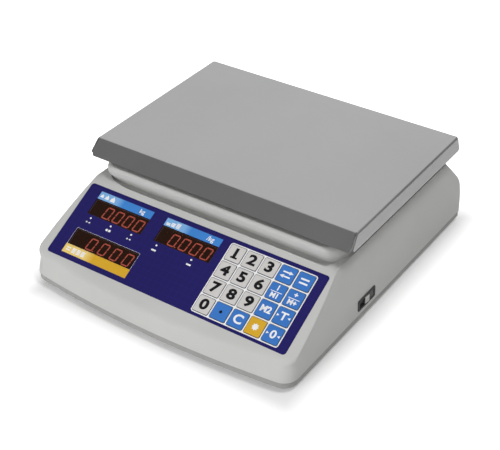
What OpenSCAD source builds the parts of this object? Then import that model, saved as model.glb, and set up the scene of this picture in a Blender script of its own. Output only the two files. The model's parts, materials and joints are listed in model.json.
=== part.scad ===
// Retail counter scale: a moulded two-part body with a sloping operator panel,
// a steel weighing pan on a single-point load cell, twenty keys and levelling feet.
// Millimetres. +X is the operator's right, -Y the operator's side, +Z up.
// The origin is on the table, under the middle of the body.

/* [Body] */
// Width of the body across its side walls
body_w = 321; // [312:1:340]
// Depth from the bowed front wall to the back wall
body_d = 353; // [345:1:380]
// Height of the base's underside above the table
foot_h = 5; // [4.5:0.5:8]
// Height of the base tray, from its underside to the split line
base_h = 7.5; // [6.5:0.5:9]
// How far the base tray is drawn in at its underside
base_undercut = 1; // [0.5:0.5:3]
// Thickness of the base tray's floor
floor_t = 3; // [2:0.5:4]
// Thickness of the moulded walls
wall = 2.5; // [2:0.1:3]
// Corner radius of the front wall in plan
corner_r = 16; // [12:1:20]
// Corner radius of the back wall in plan
back_corner_r = 4; // [3:0.5:12]
// How far the middle of the front wall bows forward
bow = 10.4; // [4:0.2:12]
// Lean of the front wall above the split line
front_lean = 18; // [14:1:22]
// Height above the underside at which the side walls start to lean in
lean_start = 20; // [16:1:26]
// Radius of the side walls' inward curve
lean_r = 151; // [140:1:220]
// Clearance between moulded pieces that fit into each other
fit = 0.15; // [0.1:0.05:0.3]

/* [Operator panel] */
// Slope of the operator panel
panel_tilt = 27; // [25:0.5:29]
// Level distance from the front of the bow to the overlay's lower edge
panel_setback = 20.3; // [18:0.1:24]
// Height of the overlay's lower edge above the underside
panel_rise = 32.4; // [30:0.1:36]
// Width of the printed overlay
overlay_w = 295.7; // [294:0.1:298]
// Length of the printed overlay up the slope
overlay_l = 88.4; // [87:0.1:92]
// Corner radius of the printed overlay
overlay_r = 3.5; // [1:0.5:5]
// Thickness of the printed overlay
overlay_t = 0.6; // [0.4:0.1:0.8]
// Moulded border above the overlay
top_border = 9.5; // [7:0.5:12]
// Depth over which the panel rounds into the front wall
crease = 4; // [3:0.5:8]
// Corner radius, in plan, along the panel's sides
panel_edge_r = 3; // [2:0.5:5]

/* [Deck] */
// Width of the groove between the panel and the deck
groove_w = 4; // [3:0.5:5]
// Depth of the groove below the panel's upper edge
groove_depth = 3.5; // [2:0.5:4]
// Solid plastic kept behind the groove
groove_backing = 8; // [7:0.5:10]
// Height of the deck above the panel's upper edge
deck_step = 10; // [8:0.5:14]
// Radius of the deck's upper edge
deck_round = 4; // [2:0.5:5]
// How far the deck's front edge tucks in below its nose
nose_tuck = 7; // [5:0.5:8]
// Height of the gap that stays open below that nose
nose_gap = 2; // [1:0.5:2.5]
// Corner radius of the deck in plan
deck_corner_r = 12; // [8:1:16]
// Radius of the hole that the load post passes through
post_hole_r = 28; // [26:1:34]
// Height of the drip collar round that hole
collar_h = 3; // [1:0.5:5]

/* [Back] */
// Height of the upright back wall above the underside
back_wall_h = 46.7; // [44:0.1:49]
// Slope of the customer's panel
back_tilt = 53; // [50:0.5:58]
// Radius between the back wall and the customer's panel
back_fillet = 20; // [14:1:24]
// Width of the customer's overlay
back_overlay_w = 262; // [255:1:268]
// Height of the customer's overlay up the slope
back_overlay_l = 30; // [26:0.5:32]
// Distance up the slope from the back wall to the overlay's middle
back_overlay_up = 25.5; // [24:0.5:27]
// Width of each customer's window
back_window_w = 70; // [66:1:74]
// Distance between the customer's windows
back_window_pitch = 82; // [80:1:86]

/* [Displays] */
// Height of every display window
window_h = 19.1; // [18.5:0.1:20]
// Thickness of the window panes
window_t = 1.2; // [0.8:0.1:1.5]
// Ledge that carries each pane all round
window_ledge = 1; // [0.6:0.1:1.5]
// Distance up the panel to the upper windows
upper_window_v = 64; // [62:0.5:66]
// Weight window, distance from the middle
weight_window_u = -95.8; // [-98:0.1:-94]
// Width of the weight window
weight_window_w = 70.9; // [68:0.1:73]
// Price window, distance from the middle
price_window_u = -8.2; // [-10:0.1:-6]
// Width of the price window
price_window_w = 69.5; // [66:0.1:71]
// Total window, distance from the middle
total_window_u = -89.3; // [-91:0.1:-87]
// Distance up the panel to the total window
total_window_v = 26; // [24:0.5:28]
// Width of the total window
total_window_w = 82.6; // [80:0.1:85]
// Depth of the digit blocks
digit_block_t = 8; // [7:0.5:9]
// Distance between digits
digit_pitch = 13.3; // [12.5:0.1:13.5]

/* [Keypad] */
// Key columns
key_cols = 5; // [5:1:5]
// Key rows
key_rows = 4; // [4:1:4]
// Distance between keys
key_pitch = 20; // [19.6:0.1:20.2]
// Side of a key cap
key_size = 17.6; // [16.5:0.1:17.8]
// Corner radius of a key cap
key_r = 1.5; // [0.8:0.1:3]
// How far a key stands above the overlay
key_proud = 0.5; // [0.4:0.1:1]
// Travel of a key
key_travel = 0.5; // [0.3:0.1:0.6]
// Thickness of the white key frame
frame_t = 1.2; // [1:0.1:1.5]
// White rim outside the outer keys
frame_rim = 1.5; // [1.2:0.1:1.7]
// Keypad's middle, distance from the panel's middle
keypad_u = 87; // [86:0.5:88]
// Keypad's middle, distance up the panel
keypad_v = 43.75; // [43:0.25:45]

/* [Pan] */
// Width of the pan's flat top
pan_w = 320; // [300:1:330]
// Depth of the pan's flat top
pan_d = 208; // [195:1:212]
// Sheet thickness of the pan
pan_t = 1; // [0.8:0.1:1.5]
// Height of the pan's top above the deck
pan_rise = 24.2; // [23:0.2:30]
// Level distance from the deck's front edge to the pan's top edge
pan_setback = 14.5; // [12:0.5:18]
// Depth of the pan's turned-down edges
pan_drop = 15.5; // [12:0.5:17]
// How far the front edge flares outwards
pan_flare_front = 13; // [8:0.5:15]
// How far the side and back edges flare outwards
pan_flare_side = 2; // [1:0.5:6]
// Outside radius of the pan's bends
pan_bend = 2.5; // [2:0.5:4]
// Corner radius at the ends of the turned-down edges
pan_tip_r = 3; // [2:0.5:6]
// Gap at the corners where two turned-down edges meet
pan_corner_gap = 3; // [2:0.5:5]

/* [Load path] */
// Length of the load cell
cell_l = 130; // [125:1:135]
// Width of the load cell
cell_w = 30; // [26:1:34]
// Height of the load cell
cell_h = 22; // [20:1:26]
// Height of the pillar under the load cell's fixed end
pillar_h = 38; // [33:1:41]
// Length of the load cell's clamped ends
cell_end = 36; // [32:1:40]
// Radius of the bolts through the load cell
bolt_r = 3; // [2.5:0.1:3.5]
// Reach of the pan support's arms to each side
arm_x = 122; // [105:1:130]
// Reach of the pan support's arms to the front and back
arm_y = 74; // [60:1:80]
// Thickness of the pan support's web
web_t = 6; // [5:0.5:8]
// Depth of the ribs under the pan support's arms
rib_h = 5; // [3:0.5:6]
// Thickness of the rubber pads under the pan
pad_t = 3; // [2:0.5:4]
// Radius of the rubber pads
pad_r = 8; // [6:0.5:10]
// Downward travel of the pan support at the overload stop
load_travel = 0.8; // [0.5:0.1:1]

/* [Feet] */
// Radius of a foot's disc
foot_r = 14; // [11:0.5:16]
// Distance of the feet from the body's sides
foot_inset_x = 27; // [25:0.5:32]
// Distance of the feet from the body's front and back
foot_inset_y = 31; // [28:0.5:36]
// Radius of a foot's stud
stud_r = 3.9; // [3:0.1:4.4]
// Length of a foot's stud
stud_l = 18; // [16:0.5:20]
// Outside radius of the threaded inserts
insert_r = 6.4; // [6:0.1:7]

/* [Power] */
// Middle of the power switch along the right wall
switch_y = -29.3; // [-40:0.1:-26]
// Height of the power switch's middle above the underside
switch_rise = 19.7; // [19:0.1:22]
// Length of the switch's bezel
switch_l = 32.3; // [29:0.1:34]
// Height of the switch's bezel
switch_h = 13.2; // [12.6:0.1:15]
// Thickness of the switch's bezel
switch_bezel = 1; // [0.8:0.1:1.2]
// Angle of the rocker to either side
rocker_tilt = 8; // [5:0.5:8]
// Mains inlet, distance from the middle
inlet_x = 95; // [80:1:105]
// Height of the mains inlet's middle above the underside
inlet_rise = 22.5; // [22:0.5:24]

/* [Hidden] */
$fn = 48;

// Levels and reference lines of the body
split_z = foot_h + base_h;
floor_z = foot_h + floor_t;
front_y = -body_d / 2;
back_y = body_d / 2;
panel_y = front_y + panel_setback;
panel_z = foot_h + panel_rise;
panel_l = overlay_l + top_border;
panel_top_y = panel_y + panel_l * cos(panel_tilt);
panel_top_z = panel_z + panel_l * sin(panel_tilt);
deck_front_y = panel_top_y + groove_w;
deck_z = panel_top_z + deck_step;
nose_low = panel_top_z + nose_gap;
nose_high = deck_z - deck_round;
back_z = foot_h + back_wall_h;
pan_y = deck_front_y + pan_setback + pan_d / 2;
pan_z = deck_z + pan_rise;
cut = 1;

// How far bosses and ribs sink into what carries them
root = 1;

// Steps round small pegs
peg_fn = 12;

// How finely the body is lofted
front_n = 10;
corner_n = 5;
crease_n = 7;
slope_n = 7;
round_n = 4;
nose_n = 5;
ledge_rise = 0.4;
least_r = 0.8;

// The heights between which the panel rounds into the front wall
crease_run = 1 / tan(panel_tilt) - tan(front_lean);
crease_mid = panel_z / tan(panel_tilt) - panel_setback - split_z * tan(front_lean);
crease_low = (crease_mid - crease) / crease_run;
crease_high = (crease_mid + bow + crease) / crease_run;

// Lip of the base tray that locates the housing
lip_h = 3;
lip_t = 2;
lip_clear = 1;
base_land = 1;

// Posts that take the housing screws
post_r = 4.5;
post_h = 24;
post_inset = 10.5;
post_front = 56.5;
post_back = 46.5;
post_rib_t = 3;
screw_r = 1.6;
screw_l = 20;
screw_head_r = 3.2;
screw_head_h = 2;
screw_clear = 0.1;
post_places = [
    for (side = [-1, 1]) for (y = [front_y + post_front, 0, back_y - post_back])
        [side * (body_w / 2 - post_inset), y]
];

// Windows and the blocks of digits behind them
window_r = 1;
digit_block_gap = 0.5;
digit_gap = 1.5;
well_edge = 2;
well_depth = 0.4;

// Display board behind the operator panel
board_t = 1.6;
board_r = 2;
seat_gap = 0.2;
board_drop = wall + seat_gap + digit_block_t;
board_side = 1.5;
board_end = 3;
board_w = overlay_w - 2 * board_side;
board_l = overlay_l - 2 * board_end;
board_screw_l = 8;
boss_r = 3;
boss_root = 0.5;
boss_edge = 5.5;
boss_row = 9.5;
boss_u = overlay_w / 2 - boss_edge;
boss_mid_u = 31.5;
boss_v = [boss_row, overlay_l - boss_row];
boss_places = [for (u = [-boss_u, boss_mid_u, boss_u]) for (v = boss_v) [u, v]];

// Key frame and keys
key_hole = key_size + 2 * fit;
frame_w = (key_cols - 1) * key_pitch + key_hole + 2 * frame_rim;
frame_l = (key_rows - 1) * key_pitch + key_hole + 2 * frame_rim;
frame_r = 3;
frame_hole_r = 2;
frame_ledge = 0.75;
digit_cols = 3;
digit_rows = 3;
key_flange = 0.65;
key_flange_t = 0.8;
key_seat = 0.05;
plunger_r = 2.5;
switch_side = 6;
switch_base_h = 3.4;
actuator_r = 1.7;
press_gap = 0.1;
plunger_l = 1.15;
plunger_end = frame_t + key_seat + key_flange_t + plunger_l;

// Customer's display board
back_board_side = 3;
back_board_w = back_overlay_w - 2 * back_board_side;
back_board_l = back_overlay_l;
back_boss_places = [for (side = [-1, 1]) [side * (back_board_w / 2 - boss_edge), 0]];

// Load path, from the base upwards
load_reach = (cell_l - cell_end) / 2;
cell_z = floor_z + pillar_h;
cell_top = cell_z + cell_h;
arm_top = pan_z - pan_t - pad_t;
web_z = arm_top - web_t;
bolt_pitch = 18;
bolt_l = 30;
bolt_head_r = 5;
bolt_head_h = 5;
bolt_clear = 0.3;
bolt_end = 4;
web_bolt_l = 10;
web_bolt_head_h = 4;
web_bolt_sink = 0.5;
stop_r = 4;
stop_inset = 4;
pad_places = [for (sx = [-1, 1]) for (sy = [-1, 1]) [sx * arm_x, sy * arm_y]];

// Feet
foot_gap = 0.3;
foot_places = [
    for (sy = [-1, 1]) for (sx = [-1, 1])
        [sx * (body_w / 2 - foot_inset_x), sy * (body_d / 2 - foot_inset_y)]
];
foot_boss_r = 9.5;
foot_boss_h = 15;
insert_clear = 0.05;
stud_clear = 0.1;

// Circuit board on the base, beside the left row of posts
main_board_size = [120, 80];
main_board_gap = 10.5;
main_board_front = 35;
standoff_h = 5;
standoff_edge = 6;
post_line = body_w / 2 - post_inset - post_r;
main_board_at = [main_board_gap - post_line + main_board_size.x / 2, -main_board_front];
chip_size = [24, 24, 3];
chip_at = [-30, -10];
block_size = [12, 40, 16];
block_at = [10, -25];
cap_r = 6;
cap_h = 18;
cap_n = 3;
cap_pitch = 18;
cap_at = [35, -20];

// Mains transformer beside the right wall
core_size = [50, 22, 42];
coil_size = [30, 40, 28];
core_tab = [8, 2];
transformer_gap = 13;
transformer_back = 101.5;
transformer_at = [
    body_w / 2 - wall - transformer_gap - core_tab.x - core_size.x / 2,
    back_y - transformer_back
];

// Rechargeable battery between the left row of posts and the load cell's pillar
battery_size = [47, 101, 70];
battery_r = 3;
battery_gap = 2.5;
battery_back = 4;
battery_at = [
    battery_gap - post_line + battery_size.x / 2,
    body_d / 2 - foot_inset_y - foot_boss_r - battery_back - battery_size.y / 2
];
terminal_size = [6, 5, 4];
terminal_pitch = 26;
terminal_drop = 10;

// Mains inlet
inlet_w = 27.5;
inlet_l = 20;
inlet_r = 2;
inlet_flange = [48, 23];
inlet_flange_t = 1.5;
inlet_flange_r = 3;

// Rocker switch
switch_lip = 1.6;
switch_r = 1;
switch_bezel_r = 1.5;
switch_depth = 20;
rocker_wall = 1.2;
rocker_w = switch_h - 2 * (switch_lip + rocker_wall);
rocker_l = switch_l - 2 * (switch_lip + rocker_wall);
rocker_r = 0.4;
rocker_pivot = 4;
rocker_room = 7.5;
rocker_gap = 0.3;
rocker_pin_r = 1.2;
rocker_pin_l = 0.8;
bearing_clear = 0.1;
bearing_l = 1;

// Bubble level in the deck
level_r = 8;
level_flange = 1.5;
level_inset = 20;

// Steps round the pan's bends and tips
bend_n = 5;

// Names of the keys, row by row from the top of the panel
KEYS = [
    ["key_1", "key_2", "key_3", "key_change", "key_sum"],
    ["key_4", "key_5", "key_6", "key_memory_1", "key_memory_2"],
    ["key_7", "key_8", "key_9", "key_memory_3", "key_tare"],
    ["key_0", "key_point", "key_clear", "key_enter", "key_zero"]
];
FEET = ["foot_front_left", "foot_front_right", "foot_rear_left", "foot_rear_right"];

// Colours
GREY_BODY = [0.77, 0.77, 0.75];
GREY_BASE = [0.62, 0.62, 0.60];
NAVY = [0.13, 0.11, 0.40];
KEY_BLUE = [0.25, 0.49, 0.80];
KEY_GREY = [0.83, 0.81, 0.80];
KEY_YELLOW = [0.92, 0.72, 0.18];
PANE = [0.16, 0.06, 0.03];
STEEL = [0.68, 0.68, 0.68];
ALLOY = [0.75, 0.76, 0.78];
BOARD_GREEN = [0.05, 0.35, 0.18];
RUBBER = [0.10, 0.10, 0.10];
BRASS = [0.78, 0.63, 0.30];

// Points on an arc about c, in n steps
function arc(c, r, a0, a1, n) =
    [for (i = [0:n]) let (a = a0 + (a1 - a0) * i / n) c + r * [cos(a), sin(a)]];

// A rectangle with rounded corners, about its own middle
function round_rect(w, l, r, n = 4) = concat(
    arc([w / 2 - r, l / 2 - r], r, 0, 90, n),
    arc([r - w / 2, l / 2 - r], r, 90, 180, n),
    arc([r - w / 2, r - l / 2], r, 180, 270, n),
    arc([w / 2 - r, r - l / 2], r, 270, 360, n)
);

// The larger of two values, rounded over where they lie within k of each other
function soft_max(a, b, k) = max(a, b) + pow(max(k - abs(a - b), 0), 2) / (4 * k);

// Half the body's width at height z
function half_w(z) = body_w / 2 - pow(max(z - foot_h - lean_start, 0), 2) / (2 * lean_r);

// How far the deck's front edge lies behind its nose at height z
function nose_back(z) =
    let (share = min(max((nose_high - z) / (nose_high - nose_low), 0), 1))
    nose_tuck * (1 - sqrt(1 - share * share));

// Front edge of the body at height z: on the wall and panel, or at a height on the deck's nose
function front_edge(x, z, inset, nose) = nose > 0
    ? deck_front_y + nose_back(nose) + inset
    : soft_max(
        front_y + bow * pow(2 * x / body_w, 2) + max(z - split_z, 0) * tan(front_lean) + inset,
        panel_y + (z - panel_z) / tan(panel_tilt) + inset / sin(panel_tilt),
        crease
    );

// Back edge of the body at height z: upright wall, fillet, then the customer's panel
function back_edge(z, inset) =
    let (
        r = back_fillet - inset,
        turn_z = back_z - inset * (1 - sin(back_tilt)) / cos(back_tilt),
        low = turn_z - r * tan((90 - back_tilt) / 2),
        high = low + r * cos(back_tilt)
    )
    z <= low ? back_y - inset
    : z <= high ? back_y - inset - r + sqrt(r * r - (z - low) * (z - low))
    : back_y - inset - (z - turn_z) / tan(back_tilt);

// Front corner radius, which tightens from the front wall to the panel's sides
function front_corner(z, nose) =
    let (share = (z - crease_low) / (crease_high - crease_low))
    nose > 0 ? deck_corner_r
    : corner_r + (panel_edge_r - corner_r) * min(max(share, 0), 1);

// One level outline of the body, inset all round; for the deck, with a height on its nose
function ring(z, inset = 0, nose = 0) =
    let (
        hw = half_w(z) - inset,
        rf = max(front_corner(z, nose) - inset, least_r),
        rb = max(back_corner_r - inset, least_r),
        x0 = hw - rf,
        turn = atan(front_edge(x0 + 1, z, inset, nose) - front_edge(x0, z, inset, nose)),
        xc = x0 + rf * sin(turn),
        yc = front_edge(xc, z, inset, nose) + rf * cos(turn),
        yb = back_edge(z, inset) - rb,
        right = arc([x0, yc], rf, turn - 90, 0, corner_n),
        left = arc([-x0, yc], rf, 180, 270 - turn, corner_n),
        outline = concat(
            [for (i = [0:front_n - 1])
                let (x = xc * (2 * i / front_n - 1))
                [x, front_edge(x, z, inset, nose)]],
            right,
            arc([hw - rb, yb], rb, 0, 90, corner_n),
            arc([rb - hw, yb], rb, 90, 180, corner_n),
            [for (i = [0:corner_n - 1]) left[i]]
        )
    )
    [for (p = outline) [p.x, p.y, z]];

// Evenly spaced values between two heights
function steps(a, b, n) = [for (i = [0:n]) a + (b - a) * i / n];

// Outlines of the housing's outer face, from the split line up
outer_rings = concat(
    [ring(split_z)],
    [for (z = steps(crease_low, crease_high, crease_n)) ring(z)],
    [for (i = [1:slope_n]) ring(crease_high + (panel_top_z - crease_high) * i / slope_n)],
    [ring(panel_top_z + ledge_rise, 0, nose_low)],
    [for (i = [0:nose_n - 1]) let (z = nose_high - (nose_high - nose_low) * cos(90 * i / nose_n))
        ring(z, 0, z)],
    [for (i = [0:round_n]) let (a = 90 * i / round_n)
        ring(deck_z - deck_round * (1 - sin(a)), deck_round * (1 - cos(a)), deck_z)]
);

// Outlines of its inner face, from the deck down
backing_z = panel_top_z - groove_backing;
groove_run = groove_w + nose_tuck;
inner_rings = concat(
    [for (z = [deck_z - wall, backing_z + ledge_rise]) ring(z, wall, nose_low)],
    [for (z = steps(backing_z, crease_high, slope_n)) ring(z, wall)],
    [for (i = [1:crease_n]) ring(crease_high + (crease_low - crease_high) * i / crease_n, wall)],
    [ring(split_z, wall), ring(split_z - cut, wall)]
);
inner_up = [for (i = [len(inner_rings) - 1:-1:0]) inner_rings[i]];

// A solid through a list of outlines that all have as many points
module loft(rings) {
    n = len(rings[0]);
    m = len(rings);
    polyhedron(
        points = [for (r = rings) each r],
        faces = concat(
            [[for (j = [0:n - 1]) j]],
            [for (i = [0:m - 2]) for (j = [0:n - 1])
                [i * n + j, (i + 1) * n + j, (i + 1) * n + (j + 1) % n, i * n + (j + 1) % n]],
            [[for (j = [n - 1:-1:0]) (m - 1) * n + j]]
        )
    );
}

// Places children on the operator panel: x across, y up the slope, z outwards
module on_panel() {
    translate([0, panel_y, panel_z])
        rotate([panel_tilt, 0, 0])
            children();
}

// Places children on the customer's panel, seen from behind
module on_back() {
    translate([0, back_y, back_z])
        rotate([0, 0, 180])
            rotate([back_tilt, 0, 0])
                translate([0, back_overlay_up, 0])
                    children();
}

// A flat plate with rounded corners, from z0 to z1
module plate(w, l, r, z0, z1) {
    translate([0, 0, z0])
        linear_extrude(z1 - z0)
            polygon(round_rect(w, l, r));
}

// Pocket and opening in a wall for one window pane
module window_cut(w) {
    plate(w + 2 * fit, window_h + 2 * fit, window_r + fit, -window_t, cut);
    plate(w - 2 * window_ledge, window_h - 2 * window_ledge, window_r, -wall - cut, cut);
}

// Hole in an overlay for one window pane
module window_hole(w) {
    plate(w + 2 * fit, window_h + 2 * fit, window_r + fit, -overlay_t - cut, cut);
}

module window_pane(w) {
    color(PANE)
        plate(w, window_h, window_r, -window_t, 0);
}

// A block of light-emitting digits with a shallow well for each digit
module digit_block(w) {
    digits = floor(w / digit_pitch);
    well_w = digit_pitch - digit_gap;
    well_l = window_h - 2 * well_edge;
    well_z = -wall - seat_gap - well_depth;
    first = -(digits - 1) / 2 * digit_pitch;
    color("dimgray")
        difference() {
            translate([-w / 2, -window_h / 2, -board_drop])
                cube([w, window_h, digit_block_t]);
            for (i = [0:digits - 1])
                translate([first + i * digit_pitch - well_w / 2, -well_l / 2, well_z])
                    cube([well_w, well_l, well_depth + cut]);
        }
}

function digit_block_w(w) = w - 2 * (window_ledge + digit_block_gap);

// Places children at one of the operator's windows
module weight_place() {
    translate([weight_window_u, upper_window_v, 0])
        children();
}

module price_place() {
    translate([price_window_u, upper_window_v, 0])
        children();
}

module total_place() {
    translate([total_window_u, total_window_v, 0])
        children();
}

// Repeats children at each of the customer's windows
module back_places() {
    for (i = [-1:1])
        translate([i * back_window_pitch, 0, 0])
            children();
}

// A screw that points up, with its head at the bottom
module screw_up(r, l, head_r, head_h) {
    translate([0, 0, -head_h])
        cylinder(r = head_r, h = head_h);
    cylinder(r = r, h = l);
}

// Switch well: local z points out of the right wall, y along it
module on_switch() {
    translate([half_w(foot_h + switch_rise), switch_y, foot_h + switch_rise])
        rotate([0, 90, 0])
            children();
}

// Inlet: local z points out of the back wall, x across it
module on_inlet() {
    translate([inlet_x, back_y, foot_h + inlet_rise])
        rotate([-90, 0, 0])
            children();
}

// Base tray with locating lip, ribs, foot bosses and screw seats
module lower_base() {
    inner = wall + fit + lip_t;
    rib_t = 2;
    rib_rise = 3;
    rib_pitch = 30;
    rib_n = 5;
    rib_start = 34;
    rib_gap = 2;
    rib_span = body_w - 2 * (foot_inset_x + foot_boss_r + rib_gap);
    color(GREY_BASE)
        difference() {
            union() {
                difference() {
                    union() {
                        loft([ring(foot_h, base_undercut), ring(split_z - base_land), ring(split_z)]);
                        loft([ring(split_z - base_land, wall + fit), ring(split_z + lip_h, wall + fit)]);
                    }
                    loft([ring(floor_z, inner), ring(split_z + lip_h + cut, inner)]);
                }
                for (p = foot_places)
                    translate([p.x, p.y, floor_z - root])
                        cylinder(r = foot_boss_r, h = foot_boss_h + foot_h - floor_z + root);
                for (p = post_places)
                    translate([p.x, p.y, floor_z - root])
                        cylinder(r = post_r, h = split_z - floor_z + root);
                for (i = [0:rib_n - 1])
                    translate([-rib_span / 2, front_y + rib_start + i * rib_pitch, floor_z - root])
                        cube([rib_span, rib_t, rib_rise]);
            }
            for (p = foot_places)
                translate([p.x, p.y, foot_h - cut])
                    cylinder(r = insert_r + insert_clear, h = foot_boss_h + 2 * cut);
            for (p = post_places) {
                translate([p.x, p.y, foot_h - cut])
                    cylinder(r = screw_r + screw_clear, h = base_h + 2 * cut);
                translate([p.x, p.y, foot_h - cut])
                    cylinder(r = screw_head_r + fit, h = screw_head_h + cut);
            }
        }
}

// Moulded housing: one lofted shell with its openings, posts and bosses
module upper_housing() {
    color(GREY_BODY)
        difference() {
            union() {
                difference() {
                    loft(outer_rings);
                    loft(inner_up);
                }
                translate([load_reach, pan_y, deck_z - wall])
                    cylinder(r = post_hole_r + wall, h = wall + collar_h);
                for (p = post_places) {
                    rib_end = half_w(split_z + post_h) - wall + root;
                    rib_x = p.x > 0 ? p.x : -rib_end;
                    rib_z = split_z + lip_h + lip_clear;
                    translate([p.x, p.y, split_z])
                        cylinder(r = post_r, h = post_h);
                    translate([rib_x, p.y - post_rib_t / 2, rib_z])
                        cube([rib_end - abs(p.x), post_rib_t, post_h - lip_h - lip_clear]);
                }
                on_panel()
                    for (p = boss_places)
                        translate([p.x, p.y, -board_drop])
                            cylinder(r = boss_r, h = board_drop - wall + boss_root);
                on_back()
                    for (p = back_boss_places)
                        translate([p.x, p.y, -board_drop])
                            cylinder(r = boss_r, h = board_drop - wall + boss_root);
            }
            on_panel() {
                translate([0, overlay_l / 2, 0])
                    plate(overlay_w + 2 * fit, overlay_l + 2 * fit, overlay_r, -overlay_t, cut);
                weight_place()
                    window_cut(weight_window_w);
                price_place()
                    window_cut(price_window_w);
                total_place()
                    window_cut(total_window_w);
                translate([keypad_u, keypad_v, 0]) {
                    plate(frame_w + 2 * fit, frame_l + 2 * fit, frame_r, -frame_t, cut);
                    plate(
                        frame_w - 2 * frame_ledge,
                        frame_l - 2 * frame_ledge,
                        frame_hole_r,
                        -wall - cut,
                        cut
                    );
                }
                for (p = boss_places)
                    translate([p.x, p.y, -board_drop - cut])
                        cylinder(r = screw_r + screw_clear, h = board_drop - wall + cut);
            }
            translate([-half_w(panel_top_z) + deck_corner_r / 2, panel_top_y, panel_top_z - groove_depth])
                cube([2 * half_w(panel_top_z) - deck_corner_r, groove_run, groove_depth + cut]);
            translate([load_reach, pan_y, deck_z - wall - cut])
                cylinder(r = post_hole_r, h = wall + collar_h + 2 * cut);
            level_place()
                translate([0, 0, -wall - cut])
                    cylinder(r = level_r + fit, h = wall + 2 * cut);
            on_back() {
                plate(back_overlay_w + 2 * fit, back_overlay_l + 2 * fit, overlay_r, -overlay_t, cut);
                back_places()
                    window_cut(back_window_w);
                for (p = back_boss_places)
                    translate([p.x, p.y, -board_drop - cut])
                        cylinder(r = screw_r + screw_clear, h = board_drop - wall + cut);
            }
            on_inlet() {
                plate(inlet_w + 2 * fit, inlet_l + 2 * fit, inlet_r, -wall - cut, cut);
                plate(
                    inlet_flange.x + 2 * fit,
                    inlet_flange.y + 2 * fit,
                    inlet_flange_r,
                    -inlet_flange_t,
                    cut
                );
            }
            on_switch()
                plate(
                    switch_h - 2 * switch_lip + 2 * fit,
                    switch_l - 2 * switch_lip + 2 * fit,
                    switch_r,
                    -wall - cut,
                    cut
                );
            for (p = post_places)
                translate([p.x, p.y, split_z - cut])
                    cylinder(r = screw_r + screw_clear, h = screw_l + cut);
        }
}

// Printed sheet on the operator panel, cut out for the windows and the key frame
module panel_overlay() {
    color(NAVY)
        on_panel()
            difference() {
                translate([0, overlay_l / 2, 0])
                    plate(overlay_w, overlay_l, overlay_r, -overlay_t, 0);
                weight_place()
                    window_hole(weight_window_w);
                price_place()
                    window_hole(price_window_w);
                total_place()
                    window_hole(total_window_w);
                translate([keypad_u, keypad_v, 0])
                    plate(frame_w + 2 * fit, frame_l + 2 * fit, frame_r, -overlay_t - cut, cut);
            }
}

// Middle of the key in a row and column, on the panel
function key_place(col, row) = [
    keypad_u + (col - (key_cols - 1) / 2) * key_pitch,
    keypad_v + ((key_rows - 1) / 2 - row) * key_pitch,
    0
];

module key_frame() {
    color("white")
        on_panel()
            difference() {
                translate([keypad_u, keypad_v, 0])
                    plate(frame_w, frame_l, frame_r - fit, -frame_t, 0);
                for (col = [0:key_cols - 1])
                    for (row = [0:key_rows - 1])
                        translate(key_place(col, row))
                            plate(key_hole, key_hole, key_r + fit, -frame_t - cut, cut);
            }
}

// One key: cap, retaining flange and plunger
module key(col, row) {
    digit = col == 0 || (col < digit_cols && row < digit_rows);
    enter = col == digit_cols && row == digit_rows;
    tone = enter ? KEY_YELLOW : digit ? KEY_GREY : KEY_BLUE;
    flange_z = -frame_t - key_seat;
    flange_side = key_size + 2 * key_flange;
    color(tone)
        on_panel()
            translate(key_place(col, row)) {
                plate(key_size, key_size, key_r, flange_z, key_proud);
                plate(flange_side, flange_side, key_r, flange_z - key_flange_t, flange_z);
                translate([0, 0, -plunger_end])
                    cylinder(r = plunger_r, h = plunger_l, $fn = peg_fn);
            }
}

module weight_window() {
    on_panel()
        weight_place()
            window_pane(weight_window_w);
}

module price_window() {
    on_panel()
        price_place()
            window_pane(price_window_w);
}

module total_window() {
    on_panel()
        total_place()
            window_pane(total_window_w);
}

module weight_digits() {
    on_panel()
        weight_place()
            digit_block(digit_block_w(weight_window_w));
}

module price_digits() {
    on_panel()
        price_place()
            digit_block(digit_block_w(price_window_w));
}

module total_digits() {
    on_panel()
        total_place()
            digit_block(digit_block_w(total_window_w));
}

module display_board() {
    color(BOARD_GREEN)
        on_panel()
            difference() {
                translate([0, overlay_l / 2, 0])
                    plate(board_w, board_l, board_r, -board_drop - board_t, -board_drop);
                for (p = boss_places)
                    translate([p.x, p.y, -board_drop - board_t - cut])
                        cylinder(r = screw_r + screw_clear, h = board_t + 2 * cut);
            }
}

// Push switches on the display board, one under each key
module key_switches() {
    top = plunger_end + key_travel + press_gap;
    color("black")
        on_panel()
            for (col = [0:key_cols - 1])
                for (row = [0:key_rows - 1])
                    translate(key_place(col, row)) {
                        translate([-switch_side / 2, -switch_side / 2, -board_drop])
                            cube([switch_side, switch_side, switch_base_h]);
                        translate([0, 0, -board_drop])
                            cylinder(r = actuator_r, h = board_drop - top, $fn = peg_fn);
                    }
}

module board_screws() {
    color(STEEL) {
        on_panel()
            for (p = boss_places)
                translate([p.x, p.y, -board_drop - board_t])
                    screw_up(screw_r, board_screw_l, screw_head_r, screw_head_h);
        on_back()
            for (p = back_boss_places)
                translate([p.x, p.y, -board_drop - board_t])
                    screw_up(screw_r, board_screw_l, screw_head_r, screw_head_h);
    }
}

module rear_overlay() {
    color(NAVY)
        on_back()
            difference() {
                plate(back_overlay_w, back_overlay_l, overlay_r, -overlay_t, 0);
                back_places()
                    window_hole(back_window_w);
            }
}

module rear_windows() {
    on_back()
        back_places()
            window_pane(back_window_w);
}

module rear_digits() {
    on_back()
        back_places()
            digit_block(digit_block_w(back_window_w));
}

module rear_board() {
    color(BOARD_GREEN)
        on_back()
            difference() {
                plate(back_board_w, back_board_l, board_r, -board_drop - board_t, -board_drop);
                for (p = back_boss_places)
                    translate([p.x, p.y, -board_drop - board_t - cut])
                        cylinder(r = screw_r + screw_clear, h = board_t + 2 * cut);
            }
}

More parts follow.
